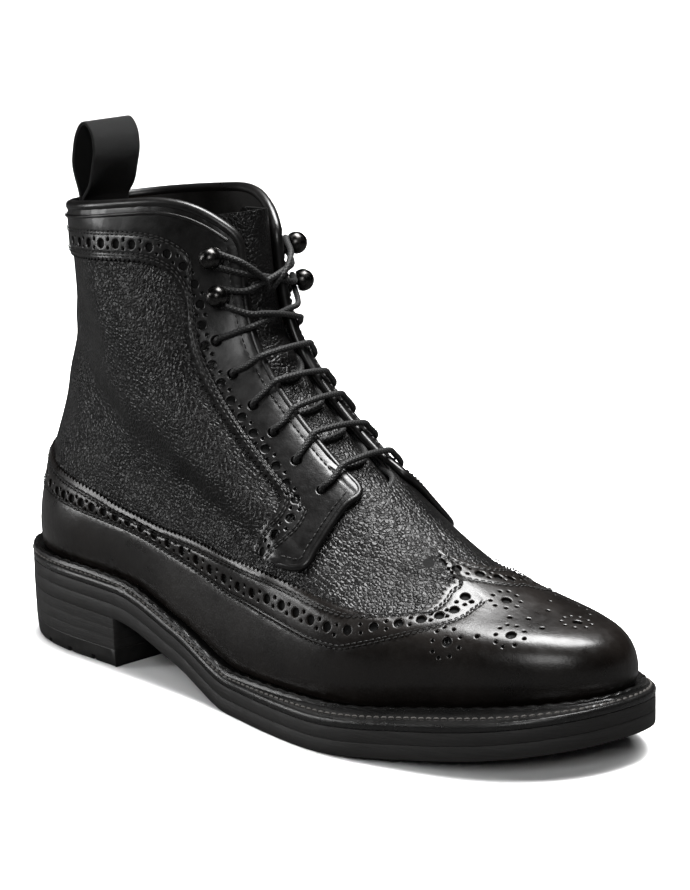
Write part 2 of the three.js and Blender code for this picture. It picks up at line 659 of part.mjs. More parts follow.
// Half turn of lace round a hook's neck, from below to above
function roundNeck(hookLevel, side) {
  const { point, normal, up } = laceSeat(hookLevel, side, overFlange, HOOK_SETBACK);
  const away = normal.clone().cross(up).multiplyScalar(-side);
  const radius = HOOK_NECK / 2 + LACE_LIFT + LACE / 2;
  return [-90, -45, 0, 45, 90].map((degrees) => {
    const angle = THREE.MathUtils.degToRad(degrees);
    return point.clone()
      .addScaledVector(away, radius * Math.cos(angle))
      .addScaledVector(up, radius * Math.sin(angle));
  });
}
function hookStrand(side) {
  const start = EYELET_LEVELS.at(-1);
  const [first, second] = HOOK_LEVELS;
  const below = fromEyelet(start, side);
  const toFirst = overEdge(first - LACE_RISE / 4, -side);
  const fromFirst = overEdge(first + LACE_RISE, -side, overFlange);
  const toSecond = overEdge(second + LACE_RISE / 4, side, overFlange);
  const wrap = roundNeck(second, side);
  return [
    ...below, overGap(below.at(-1), toFirst, start + LACE_RISE), toFirst,
    ...roundNeck(first, -side),
    fromFirst, overGap(fromFirst, toSecond, second), toSecond,
    ...wrap,
  ];
}

// The crossing behind the bars, from a bar to the next one or to the crossing below the hooks
function underpass(low, high) {
  const from = bar(low);
  const inner = high < EYELET_LEVELS.at(-1) ? bar(high).reverse() : hookStrand(1);
  return [
    from[3].clone().lerp(from[4], 0.4),
    lacePoint((low * 2 + high) / 3 + LACE_RISE, -1, 0.25, 0, inThroat),
    lacePoint((low + high * 2) / 3 + LACE_RISE, 1, 0.25, 0, inThroat),
    inner[3].clone().lerp(inner[4], 0.4),
  ];
}
const strands = [
  ...EYELET_LEVELS.slice(0, -1).map((barLevel) => cord(bar(barLevel), LACE / 2)),
  ...EYELET_LEVELS.slice(1).map((barLevel, k) => cord(underpass(EYELET_LEVELS[k], barLevel), LACE / 2)),
  ...sides.map((side) => cord(hookStrand(side), LACE / 2)),
];
const lace = strands.map(solid).reduce((joined, strand) => joined.add(strand));
add('lace', geometryOf(lace), 'cloth');

// Ends of the lace, tucked back into the throat behind the top crossing
function laceEnd(side) {
  const top = HOOK_LEVELS[1];
  const from = roundNeck(top, side).at(-1);
  const to = lacePoint(top + LACE_RISE * 0.75, side, 1, -LACE * 0.8, overFlange + LACE_LIFT);
  const start = from.clone().addScaledVector(to.clone().sub(from).normalize(), LACE / 2 + CLEARANCE);
  return [
    start, start.clone().lerp(to, 0.5), to,
    lacePoint(top + LACE_RISE * 0.8, side, 0.7, 0, inThroat),
    lacePoint(top + LACE_RISE * 0.6, side, 0.4, 0, inThroat - 1.5 * LACE_LIFT),
    lacePoint(top + LACE_RISE * 0.3, side, 0.25, 0, inThroat - 1.5 * LACE_LIFT),
  ];
}
sides.forEach((side) => {
  add(`lace_end_${side > 0 ? 'inner' : 'outer'}`, pipe(laceEnd(side), LACE / 2, 8), 'cloth');
});

// Pull loop, a webbing teardrop over a tail that lies inside the back of the collar
function pullLoop() {
  const thick = WEBBING_THICK;
  const middle = [
    [0, 0], [-0.04, 0.25], [0.02, 0.5], [0.18, 0.78], [0.48, 0.955],
    [0.78, 0.96], [1.05, 0.8], [1.06, 0.52], [0.66, 0.22],
  ].map(([depth, rise]) => new THREE.Vector3(depth * LOOP_DEPTH, rise * LOOP_HEIGHT, 0));
  const curve = new THREE.CatmullRomCurve3([...middle, new THREE.Vector3(thick, 0, 0)]);
  const steps = 16;
  const offsetPoint = (k, offset) => {
    const tangent = curve.getTangent(k / steps);
    const point = curve.getPoint(k / steps);
    return new THREE.Vector2(point.x - tangent.y * offset, point.y + tangent.x * offset);
  };
  const outside = range(steps + 1).map((k) => offsetPoint(k, thick / 2));
  const inside = range(steps - 1).map((k) => offsetPoint(k + 1, -thick / 2)).reverse();
  const shape = new THREE.Shape([
    new THREE.Vector2(-thick / 2, -LOOP_TAIL), ...outside, new THREE.Vector2(1.5 * thick, -LOOP_TAIL),
  ]);
  shape.holes.push(new THREE.Path(inside));
  const strap = new THREE.ExtrudeGeometry(shape, { depth: WEBBING, steps: 3, bevelEnabled: false });
  strap.rotateX(Math.PI / 2);
  strap.translate(0, WEBBING / 2, 0);
  return strap;
}

// Inner face of the collar's back at a distance from the middle plane
const backDepth = Math.max(WALL, bindingRadius - bindingMiddle) + CLEARANCE;
function backInside(distance) {
  let near = 0;
  let far = 0.25;
  for (let k = 0; k < 30; k++) {
    const middle = (near + far) / 2;
    if (skin(middle, 1, -backDepth).point.y > distance) far = middle;
    else near = middle;
  }
  return skin(near, 1, -backDepth).point;
}
const strap = pullLoop();
const strapAt = strap.getAttribute('position');
const collarTop = backInside(0).z + BINDING;
for (let k = 0; k < strapAt.count; k++) {
  const fade = 1 - THREE.MathUtils.smoothstep(strapAt.getZ(k), 0, LOOP_HEIGHT / 2);
  const curved = backInside(Math.abs(strapAt.getY(k))).x - backInside(0).x;
  strapAt.setX(k, strapAt.getX(k) + backInside(0).x + WEBBING_THICK / 2 + curved * fade);
  strapAt.setZ(k, strapAt.getZ(k) + collarTop);
}
add('pull_loop', strap, 'cloth');

// The origin is on the floor under the middle of the boot's box
const middle = new THREE.Box3().setFromObject(boot).getCenter(new THREE.Vector3());
boot.position.set(-middle.x, -middle.y, 0);
const model = new THREE.Group();
model.add(boot);

export default model;
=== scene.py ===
# Black lace-up wingtip boot for the right foot: its looks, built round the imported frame.
# Lengths are millimetres in the last's own axes, with x from the back of the sole to the toe,
# y to the inner side and z up from the floor, until to_frame turns them into metres.
import math

import bpy
import numpy as np
from mathutils import Matrix, Vector, kdtree
from mathutils.geometry import delaunay_2d_cdt


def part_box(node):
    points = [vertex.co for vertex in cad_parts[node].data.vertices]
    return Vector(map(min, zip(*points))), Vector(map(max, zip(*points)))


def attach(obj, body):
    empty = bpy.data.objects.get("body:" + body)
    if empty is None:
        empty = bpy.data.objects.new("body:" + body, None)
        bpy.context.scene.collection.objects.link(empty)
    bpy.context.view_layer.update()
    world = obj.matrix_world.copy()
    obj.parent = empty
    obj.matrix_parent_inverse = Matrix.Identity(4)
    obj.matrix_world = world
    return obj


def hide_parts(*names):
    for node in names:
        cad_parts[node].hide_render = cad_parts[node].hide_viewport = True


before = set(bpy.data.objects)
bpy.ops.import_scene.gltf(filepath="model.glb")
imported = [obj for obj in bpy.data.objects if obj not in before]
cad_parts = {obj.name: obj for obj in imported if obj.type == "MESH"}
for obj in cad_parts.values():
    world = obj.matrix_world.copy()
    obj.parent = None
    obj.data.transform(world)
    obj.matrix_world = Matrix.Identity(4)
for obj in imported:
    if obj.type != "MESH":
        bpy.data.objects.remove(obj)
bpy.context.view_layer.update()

# Driving sizes, the same as in the part's source
LENGTH = 305
BALL_WIDTH = 97
INSTEP_HEIGHT = 92
COLLAR_BACK = 176
COLLAR_FRONT = 190
HEEL_LENGTH = 77
HEEL_HEIGHT = 20.5
TOE_SPRING = 12
WAIST_HEIGHT = 11.5
BALL_FLAT = 48
OUTSOLE = 5.8
MIDSOLE = 5
WELT = 3.2
TOP_PIECE = 7.5
HEEL_TAPER = 1.2
NOTCHES = 4
NOTCH_SIZE = 2.4
NOTCH_DEPTH = 7
WALL = 2.2
CLEARANCE = 0.3
THROAT_TOP = 20
THROAT_FOOT = 24
EYELET = 4
EYELET_SETBACK = 9.5
HOOK_SETBACK = 6
LACE = 2.4
HOOK = 8.8
WEBBING = 24
WEBBING_THICK = 1.5
LOOP_HEIGHT = 31
LOOP_DEPTH = 12
TONGUE_REACH = 25
TONGUE_FOOT = 0.5
TONGUE_HEAD = 0.975
SOLE = OUTSOLE + MIDSOLE + WELT
AROUND = 40

# Offsets of the leather's layers from the last's surface
LEATHER = 1.0
OVERLAY = 1.35

COLUMNS = (
    "rise", "back", "front", "top",
    "out_heel", "out_waist", "out_ball", "out_toe", "in_heel", "in_waist", "in_ball", "in_toe",
    "round_back", "round_front", "power_back", "power_front", "swing",
)
SECTIONS = (
    (
        0.00, 0.011, 0.962, 0.00, 0.31, 0.395, 0.490, 0.340, 0.34, 0.320, 0.440, 0.350,
        0.15, 0.18, 2.2, 2.2, 0.100,
    ),
    (
        0.06, 0.013, 0.971, 0.115, 0.333, 0.397, 0.508, 0.360, 0.355, 0.340, 0.455, 0.352,
        0.15, 0.19, 2.2, 2.2, 0.088,
    ),
    (
        0.14, 0.016, 0.950, 0.300, 0.345, 0.385, 0.490, 0.350, 0.350, 0.350, 0.445, 0.325,
        0.17, 0.20, 2.2, 2.1, 0.074,
    ),
    (
        0.275, 0.024, 0.858, 0.395, 0.322, 0.362, 0.444, 0.340, 0.320, 0.345, 0.428, 0.300,
        0.22, 0.28, 2.2, 2.0, 0.056,
    ),
    (
        0.425, 0.043, 0.724, 0.625, 0.288, 0.340, 0.404, 0.330, 0.290, 0.339, 0.396, 0.305,
        0.28, 0.36, 2.1, 2.0, 0.035,
    ),
    (
        0.57, 0.056, 0.583, 1.00, 0.262, 0.340, 0.393, 0.330, 0.263, 0.340, 0.384, 0.315,
        0.36, 0.42, 2.0, 2.0, 0.016,
    ),
    (
        0.715, 0.072, 0.456, 1.35, 0.260, 0.345, 0.355, 0.300, 0.268, 0.345, 0.356, 0.300,
        0.42, 0.45, 2.0, 2.0, 0,
    ),
    (
        0.86, 0.074, 0.420, 1.685, 0.290, 0.325, 0.305, 0.260, 0.292, 0.325, 0.306, 0.260,
        0.45, 0.47, 2.0, 2.0, 0,
    ),
    (
        1.00, 0.079, 0.414, 2.00, 0.328, 0.298, 0.250, 0.215, 0.328, 0.300, 0.252, 0.215,
        0.46, 0.48, 2.0, 2.0, 0,
    ),
)
SOLE_OUTLINE = (
    0, 0, 1, 0, 0.407, 0.469, 0.633, 0.542, 0.407, 0.351, 0.539, 0.395, 0.19, 0.18, 2.3, 2.2, 0.088,
)
STATIONS = np.array([0.12, 0.4, 0.68, 0.88])

# The front corners of the top line drop away from this share of the collar's length
CORNER_START = 0.55
CORNER_DROP = 0.095
CORNER_POWER = 2.7

# Borders of the overlays as (level, share of the section's length)
FACING_REAR = (
    (0.88, 0), (0.885, 0.12), (0.895, 0.46), (0.895, 0.62), (0.885, 0.71), (0.865, 0.755), (0.835, 0.777),
    (0.77, 0.771), (0.705, 0.774), (0.632, 0.784), (0.567, 0.79), (0.537, 0.766), (0.5, 0.713),
    (0.455, 0.65), (0.417, 0.61),
)
FACING_TAB = (
    (0.415, 0.677), (0.42, 0.725), (0.466, 0.776), (0.512, 0.833), (0.554, 0.893), (0.59, 0.948),
    (0.604, 0.965),
)
WING_BORDER = (
    (0.41, 0), (0.395, 0.035), (0.376, 0.082), (0.361, 0.192), (0.345, 0.255), (0.341, 0.341), (0.359, 0.438),
    (0.374, 0.53), (0.378, 0.61), (0.37, 0.678), (0.351, 0.725), (0.33, 0.775), (0.331, 0.814),
    (0.361, 0.863), (0.396, 0.905), (0.431, 0.941), (0.46, 0.962), (0.483, 0.976), (0.51, 1),
)
EYELET_LEVELS = (0.588, 0.631, 0.669, 0.704, 0.745, 0.792)
HOOK_LEVELS = (0.872, 0.937)
SIDES = (-1, 1)


# Curves
def end_tangent(runs, slopes):
    tangent = ((2 * runs[0] + runs[1]) * slopes[0] - runs[0] * slopes[1]) / (runs[0] + runs[1])
    return tangent if tangent * slopes[0] > 0 else 0


def hermite(t, start, end, leave, arrive):
    blend = t * t * (3 - 2 * t)
    return start + (end - start) * blend + (t**3 - 2 * t**2 + t) * leave + (t**3 - t**2) * arrive


def monotone_curve(points):
    """Monotone cubic through (x, y) points, so that a profile never overshoots a point."""
    xs, ys = np.array(points, float).T
    runs = np.diff(xs)
    slopes = np.diff(ys) / runs
    tangents = np.zeros(len(xs))
    for k in range(1, len(xs) - 1):
        if slopes[k - 1] * slopes[k] > 0:
            a = 2 * runs[k] + runs[k - 1]
            b = runs[k] + 2 * runs[k - 1]
            tangents[k] = (a + b) / (a / slopes[k - 1] + b / slopes[k])
    tangents[0] = end_tangent(runs, slopes)
    tangents[-1] = end_tangent(runs[::-1], slopes[::-1])

    def curve(x):
        at = np.clip(x, xs[0], xs[-1])
        k = np.clip(np.searchsorted(xs, at, side="right") - 1, 0, len(runs) - 1)
        t = (at - xs[k]) / runs[k]
        return hermite(t, ys[k], ys[k + 1], tangents[k] * runs[k], tangents[k + 1] * runs[k])

    return curve


def smooth_step(share):
    share = np.clip(share, 0, 1)
    return share * share * (3 - 2 * share)


def natural_spline(values):
    """Natural cubic spline through rows of values spaced evenly from 0 to 1, carried on past both ends."""
    values = np.array(values, float)
    last = len(values) - 1
    bend = np.zeros_like(values)
    scale = np.zeros(len(values))
    for k in range(1, last):
        pivot = 4 - scale[k - 1]
        scale[k] = 1 / pivot
        bend[k] = (6 * (values[k + 1] - 2 * values[k] + values[k - 1]) - bend[k - 1]) / pivot
    for k in range(last - 1, 0, -1):
        bend[k] -= scale[k] * bend[k + 1]

    def curve(share):
        at = np.asarray(share, float) * last
        k = np.clip(np.floor(at), 0, last - 1).astype(int)
        b = (at - k)[..., None]
        a = 1 - b
        bulge = ((a**3 - a) * bend[k] + (b**3 - b) * bend[k + 1]) / 6
        return a * values[k] + b * values[k + 1] + bulge

    return curve


def smooth_path(points, count):
    """Catmull-Rom curve through points, as a list of evenly shared points."""
    points = np.array(points, float)
    padded = np.vstack([2 * points[0] - points[1], points, 2 * points[-1] - points[-2]])
    at = np.linspace(0, len(points) - 1, count)
    k = np.minimum(at.astype(int), len(points) - 2)
    t = (at - k)[:, None]
    p0, p1, p2, p3 = (padded[k + j] for j in range(4))
    return 0.5 * (
        2 * p1 + (p2 - p0) * t + (2 * p0 - 5 * p1 + 4 * p2 - p3) * t**2 + (3 * p1 - p0 - 3 * p2 + p3) * t**3
    )


def lengths_along(points):
    steps = np.linalg.norm(np.diff(points, axis=0), axis=1)
    return np.concatenate([[0], np.cumsum(steps)])


def resample(points, at, lengths=None):
    """Points at given distances along a polyline, which may be measured by other lengths."""
    along = lengths_along(points) if lengths is None else lengths
    return np.stack([np.interp(at, along, points[:, k]) for k in range(points.shape[1])], axis=1)


def unit(vectors):
    return vectors / np.maximum(np.linalg.norm(vectors, axis=-1, keepdims=True), 1e-12)


# The last
BALL_START = (LENGTH - HEEL_LENGTH) * 0.33 + HEEL_LENGTH
sole_bottom = monotone_curve((
    (0, HEEL_HEIGHT + 0.8),
    (HEEL_LENGTH, HEEL_HEIGHT),
    ((HEEL_LENGTH + BALL_START) / 2, WAIST_HEIGHT),
    (BALL_START, 0),
    (BALL_START + BALL_FLAT, 0),
    ((BALL_START + BALL_FLAT + LENGTH) / 2, TOE_SPRING * 0.37),
    (LENGTH, TOE_SPRING),
))


def share_at(turn):
    return (1 - np.cos(2 * np.pi * turn)) / 2


def side_at(turn):
    return np.where(turn - np.floor(turn) <= 0.5, 1.0, -1.0)


def seat(x):
    return sole_bottom(x) + SOLE + 2 * CLEARANCE


def sized(row):
    """Turns a row of shares into a dictionary of millimetres."""
    size = dict(zip(COLUMNS, row))
    for name in COLUMNS:
        if name.startswith(("out_", "in_", "swing")):
            size[name] *= BALL_WIDTH
    low = size["top"] < 1
    foot = seat(LENGTH * SECTIONS[0][2]) if low else INSTEP_HEIGHT
    head = INSTEP_HEIGHT if low else COLLAR_FRONT
    heel_seat = seat(LENGTH * SECTIONS[0][1])
    size["back"] *= LENGTH
    size["front"] *= LENGTH
    size["back_z"] = heel_seat + size["rise"] * (COLLAR_BACK - heel_seat)
    size["front_z"] = foot + (size["top"] if low else size["top"] - 1) * (head - foot)
    return size


NAMES = list(sized(SECTIONS[0]))
section_curve = natural_spline([[sized(row)[name] for name in NAMES] for row in SECTIONS])


def section_at(level):
    values = section_curve(level)
    return {name: values[..., k] for k, name in enumerate(NAMES)}


def end_round(q, share, power):
    inside = np.clip(1 - np.maximum(q, 0) / share, 0, 1)
    return (1 - inside**power) ** (1 / power)


def half_width(section, q, side):
    """Half width of a section at share q of its length, through four stations and two rounded ends."""
    names = ("heel", "waist", "ball", "toe")
    widths = [np.where(side > 0, section["in_" + name], section["out_" + name]) for name in names]

    def slope(a, b):
        return (widths[b] - widths[a]) / (STATIONS[b] - STATIONS[a])

    slopes = [0 * widths[0], slope(0, 2), slope(1, 3), slope(2, 3) * 0.6]
    half = np.where(q > STATIONS[3], widths[3] + slopes[3] * (q - STATIONS[3]), widths[0])
    for k in range(3):
        run = STATIONS[k + 1] - STATIONS[k]
        t = np.clip((q - STATIONS[k]) / run, 0, 1)
        piece = hermite(t, widths[k], widths[k + 1], slopes[k] * run, slopes[k + 1] * run)
        half = np.where((q > STATIONS[k]) & (q <= STATIONS[k + 1]), piece, half)
    back = end_round(q, section["round_back"], section["power_back"])
    return half * back * end_round(1 - q, section["round_front"], section["power_front"])


def section_point(section, q, side):
    x = section["back"] + (section["front"] - section["back"]) * q
    centre = section["swing"] * np.clip((q - 0.35) / 0.65, 0, 1) ** 2
    return x, centre + side * half_width(section, q, side)


SEAT_BACK = seat(sized(SECTIONS[0])["back"])
SEAT_FRONT = seat(sized(SECTIONS[0])["front"])


def last_point(level, q, side):
    section = section_at(level)
    x, y = section_point(section, q, side)
    follow = np.clip(1 - level / 0.6, 0, 1) ** 1.4
    curve = seat(x) - (SEAT_BACK + (SEAT_FRONT - SEAT_BACK) * q)
    z = section["back_z"] + (section["front_z"] - section["back_z"]) * q + curve * follow
    return np.stack([x, y, z], axis=-1)


def bent_level(level, q):
    drop = CORNER_DROP * np.clip((q - CORNER_START) / (1 - CORNER_START), 0, 1) ** CORNER_POWER
    return level - drop * level**4


def on_last(turn, level, bend=bent_level):
    q = share_at(turn)
    return last_point(bend(level, q), q, side_at(turn))


def no_bend(level, q):
    return level


def axes_at(turn, level, bend=bent_level):
    """Surface point, unit normal and the two tangents by turn and by level."""
    step = 0.004
    along = (on_last(turn + step, level, bend) - on_last(turn - step, level, bend)) / (2 * step)
    up = (on_last(turn, level + step, bend) - on_last(turn, level - step, bend)) / (2 * step)
    normal = unit(np.cross(up, along))
    return on_last(turn, level, bend), normal, along, up


# Creases of the worn leather: side, (level, share) points, half width and depth of the trough
CREASES = (
    (-1, ((0.50, 0.50), (0.47, 0.58), (0.44, 0.64)), 7, 1.5),
    (-1, ((0.56, 0.20), (0.53, 0.34), (0.50, 0.46)), 9, 0.9),
    (-1, ((0.66, 0.06), (0.64, 0.18), (0.60, 0.30)), 8, 0.9),
    (-1, ((0.73, 0.22), (0.71, 0.42), (0.70, 0.60)), 11, 0.7),
    (-1, ((0.45, 0.30), (0.43, 0.42), (0.42, 0.52)), 7, 0.7),
    (1, ((0.50, 0.50), (0.47, 0.58), (0.44, 0.64)), 8, 1.2),
    (1, ((0.62, 0.08), (0.59, 0.24), (0.56, 0.40)), 9, 0.9),
    (1, ((0.74, 0.20), (0.72, 0.42), (0.70, 0.60)), 10, 0.7),
)
RIDGE_SHARE = 0.45
RIDGE_AWAY = 1.7
RIDGE_FALL = 2
TROUGH_FALL = 1.6


def crease_line(side, points):
    level, q = smooth_path(points, 24).T
    return last_point(level, q, side * np.ones_like(q))


crease_lines = [(crease_line(side, points), width, depth) for side, points, width, depth in CREASES]


def line_distance(points, line):
    """Distance of points from a polyline."""
    start, end = line[:-1], line[1:]
    run = end - start
    best = np.full(len(points), 1e9)
    for k in range(len(start)):
        share = np.clip(((points - start[k]) @ run[k]) / (run[k] @ run[k]), 0, 1)
        best = np.minimum(best, np.linalg.norm(points - start[k] - share[:, None] * run[k], axis=1))
    return best


def creases_at(points):
    """Height of the creased surface over the smooth one."""
    height = np.zeros(len(points))
    for line, width, depth in crease_lines:
        away = line_distance(points, line) / width
        ridge = RIDGE_SHARE * np.exp(-((away - RIDGE_AWAY) ** 2) * RIDGE_FALL)
        height += depth * (ridge - np.exp(-(away**2) * TROUGH_FALL))
    return height


# Place in the frame
low_outsole = np.array(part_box("outsole")[0]) * 1000
stations = np.arange(AROUND) / AROUND
sole_size = dict(sized(SOLE_OUTLINE), back=0, front=LENGTH)
station_y = section_point(sole_size, share_at(stations), side_at(stations))[1]
OFFSET = np.array([low_outsole[0], low_outsole[1] - station_y.min(), 0])


def to_frame(points):
    return (np.asarray(points, float) + OFFSET) / 1000


# Meshes
def face_normals(points, triangles):
    corners = points[triangles]
    return np.cross(corners[:, 1] - corners[:, 0], corners[:, 2] - corners[:, 0])


def smooth_normals(points, triangles):
    face = face_normals(points, triangles)
    normals = np.zeros_like(points)
    for k in range(3):
        np.add.at(normals, triangles[:, k], face)
    return unit(normals)


def new_object(name, data):
    made = bpy.data.objects.new(name, data)
    bpy.context.collection.objects.link(made)
    return made


def make_object(name, points, faces, material, node=None, normals=None, sharp=50):
    mesh = bpy.data.meshes.new(name)
    mesh.from_pydata(to_frame(points).tolist(), [], [tuple(map(int, face)) for face in faces])
    mesh.polygons.foreach_set("use_smooth", [True] * len(mesh.polygons))
    if normals is None:
        mesh.set_sharp_from_angle(angle=math.radians(sharp))
    else:
        mesh.normals_split_custom_set([tuple(map(float, normal)) for normal in normals])
    mesh.materials.append(material)
    piece = new_object(name, mesh)
    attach(piece, "root")
    if node:
        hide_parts(*([node] if isinstance(node, str) else node))
    return piece


def ring_faces(rings, count, closed=False):
    """Faces round a stack of rings that have the same count of points."""
    faces = []
    for ring in range(rings if closed else rings - 1):
        low, high = ring * count, (ring + 1) % rings * count
        for k in range(count):
            after = (k + 1) % count
            faces.append((low + k, low + after, high + after, high + k))
    return faces


def caps(rings, count):
    last = (rings - 1) * count
    return [tuple(range(count))[::-1], tuple(range(last, last + count))]


def turned_over(faces):
    return [(a, d, c, b) for a, b, c, d in faces]


def set_places(piece, name, places):
    """Gives a piece its texture places, one for each corner of each face."""
    layer = piece.data.uv_layers.new(name=name)
    layer.data.foreach_set("uv", np.array(places, float).ravel())


# Curves drawn on the last, as rows of (turn, level)
FLAT_TURN = 560
FLAT_LEVEL = 185


def turns_of(border, side):
    """Turns a border of (level, share) into rows of (turn, level) on one side."""
    level, q = np.array(border, float).T
    turn = np.arccos(1 - 2 * np.clip(q, 0, 1)) / (2 * np.pi)
    return np.stack([side * turn, level], axis=1)


def even(line, spacing, bend=bent_level):
    """The same line with evenly spaced points, measured on the last."""
    along = lengths_along(on_last(*line.T, bend))
    count = max(2, round(along[-1] / spacing) + 1)
    return resample(line, np.linspace(0, along[-1], count), along)


def moved(line, moves, bend=bent_level):
    """Surface places moved by real millimetres, given as vectors that lie along the surface."""
    du, dv = axes_at(*line.T, bend)[2:]
    a, b, c = (du * du).sum(1), (du * dv).sum(1), (dv * dv).sum(1)
    r, s = (moves * du).sum(1), (moves * dv).sum(1)
    det = a * c - b * b
    return line + np.stack([(c * r - b * s) / det, (a * s - b * r) / det], axis=1)


def sideways(line):
    """Unit vectors on the surface, square to a line and to its left as it runs."""
    points, normal = axes_at(*line.T)[:2]
    return unit(np.cross(normal, np.gradient(points, axis=0)))


def shifted(line, distance):
    """The line moved sideways on the surface, without the points that come too near its start line."""
    distance = np.asarray(distance, float)
    new = moved(line, sideways(line) * distance.reshape(-1, 1))
    base = on_last(*line.T)
    away = line_distance(on_last(*new.T), base)
    return new[away > np.abs(distance) * 0.96]


def zigzag(line, pitch, depth):
    """A gimped edge: small teeth that point away from the line's left side."""
    points = even(line, pitch / 2)
    teeth = np.where(np.arange(len(points)) % 2 == 1, -depth, 0.0)
    teeth[[0, -1]] = 0
    return moved(points, sideways(points) * teeth[:, None])


def turn_at_reach(level, side, reach, bend=bent_level):
    """Turn at which a level is as far from the middle plane as reach, on one side of the front."""
    level, reach = np.broadcast_arrays(np.asarray(level, float), np.asarray(reach, float))
    near = np.full(level.shape, 0.5)
    far = np.full(level.shape, 0.5 - 0.24)
    for _ in range(30):
        middle = (near + far) / 2
        q = share_at(middle)
        wide = half_width(section_at(bend(level, q)), q, side * np.ones_like(q)) > reach
        far = np.where(wide, middle, far)
        near = np.where(wide, near, middle)
    return side * (near + far) / 2


def throat_half(level):
    share = (level - EYELET_LEVELS[0]) / (1 - EYELET_LEVELS[0])
    return (THROAT_FOOT + (THROAT_TOP - THROAT_FOOT) * share) / 2


def throat_edge(side, low, high, inset=0.0, count=60):
    """The throat's edge on one side, from a low to a high level."""
    level = np.linspace(low, high, count)
    return np.stack([turn_at_reach(level, side, throat_half(level) + inset), level], axis=1)


def lace_seat(level, side, setback=EYELET_SETBACK):
    return np.array([[turn_at_reach(level, side, throat_half(level) + setback), level]], float)


def circle(place, radius, count, bend=bent_level):
    """A round loop on the surface round one place."""
    normal, along = axes_at(*place.T, bend)[1:3]
    first = unit(along)
    second = np.cross(normal, first)
    angle = 2 * np.pi * np.arange(count)[:, None] / count
    moves = radius * (np.cos(angle) * first + np.sin(angle) * second)
    return moved(np.repeat(place, count, axis=0), moves, bend)


# Sheets of leather, cut to an outline on the last
EDGE_REACH = 1.1
HOLE_REACH = 0.5
HOLE_ROLL = 0.25
GROOVE_DEPTH = 0.3
GROOVE_HALF = 0.55
CLEAR_SHARE = 0.55


def triangulate(outline, holes, guides, spacing, bend=bent_level):
    """Places and triangles of a panel with real holes, whose guide lines are kept as edges."""
    outline = anticlockwise(outline)
    holes = [anticlockwise(hole) for hole in holes]
    places = [outline]
    edges = [(k, (k + 1) % len(outline)) for k in range(len(outline))]
    faces = [list(range(len(outline)))]
    count = len(outline)
    for hole in holes:
        loop = list(range(count, count + len(hole)))
        faces.append(loop)
        edges += list(zip(loop, loop[1:] + loop[:1]))
        places.append(hole)
        count += len(hole)
    for guide in guides:
        edges += [(count + k, count + k + 1) for k in range(len(guide) - 1)]
        places.append(guide)
        count += len(guide)
    fixed = np.vstack(places)
    tree = tree_of(on_last(*fixed.T, bend))
    inside = grid_places(outline, spacing, bend)
    solid = on_last(*inside.T, bend)
    far = np.array([tree.find(point)[2] > CLEAR_SHARE * spacing for point in solid])
    places = np.vstack([fixed, inside[far]])
    flat = [Vector(row) for row in places * (FLAT_TURN, FLAT_LEVEL)]
    found = delaunay_2d_cdt(flat, edges, faces, 0, 1e-5)
    kept = [face for face, owners in zip(found[2], found[5]) if owners == [0]]
    new = np.array([tuple(point) for point in found[0]]) / (FLAT_TURN, FLAT_LEVEL)
    return new, np.array(kept)


def anticlockwise(loop):
    after = np.roll(loop, -1, axis=0)
    area = (loop[:, 0] * after[:, 1] - after[:, 0] * loop[:, 1]).sum()
    return loop if area > 0 else loop[::-1]


def tree_of(points):
    tree = kdtree.KDTree(len(points))
    for k, point in enumerate(points):
        tree.insert(point, k)
    tree.balance()
    return tree


def grid_places(outline, spacing, bend):
    """Places spaced evenly on the last, in staggered rows that cover an outline's box."""
    (left, low), (right, high) = outline.min(0), outline.max(0)
    rise = np.linalg.norm(axes_at(np.array([0.3]), np.array([(low + high) / 2]), bend)[3])
    rows = max(2, round((high - low) * rise / (spacing * 0.87)))
    places = []
    for k in range(1, rows):
        turn = np.linspace(left, right, 400)
        line = np.stack([turn, np.full(400, low + (high - low) * k / rows)], axis=1)
        along = lengths_along(on_last(*line.T, bend))
        at = np.arange(spacing * (0.25 + 0.5 * (k % 2)), along[-1], spacing)
        places.append(resample(line, at, along))
    return np.vstack(places)


def weld(places, triangles):
    """Joins the places of a closed panel's two ends, which lie one turn apart."""
    left, right = places[:, 0].min(), places[:, 0].max()
    if right - left < 0.999:
        return triangles
    swap = np.arange(len(places))
    first = {round(level, 5): k for k, (turn, level) in enumerate(places) if turn < left + 1e-6}
    for k, (turn, level) in enumerate(places):
        if turn > right - 1e-6:
            swap[k] = first.get(round(level, 5), k)
    return swap[triangles]


def border_edges(triangles):
    edges = np.vstack([triangles[:, [0, 1]], triangles[:, [1, 2]], triangles[:, [2, 0]]])
    keys = {(a, b) for a, b in edges.tolist()}
    return [(a, b) for a, b in keys if (b, a) not in keys]


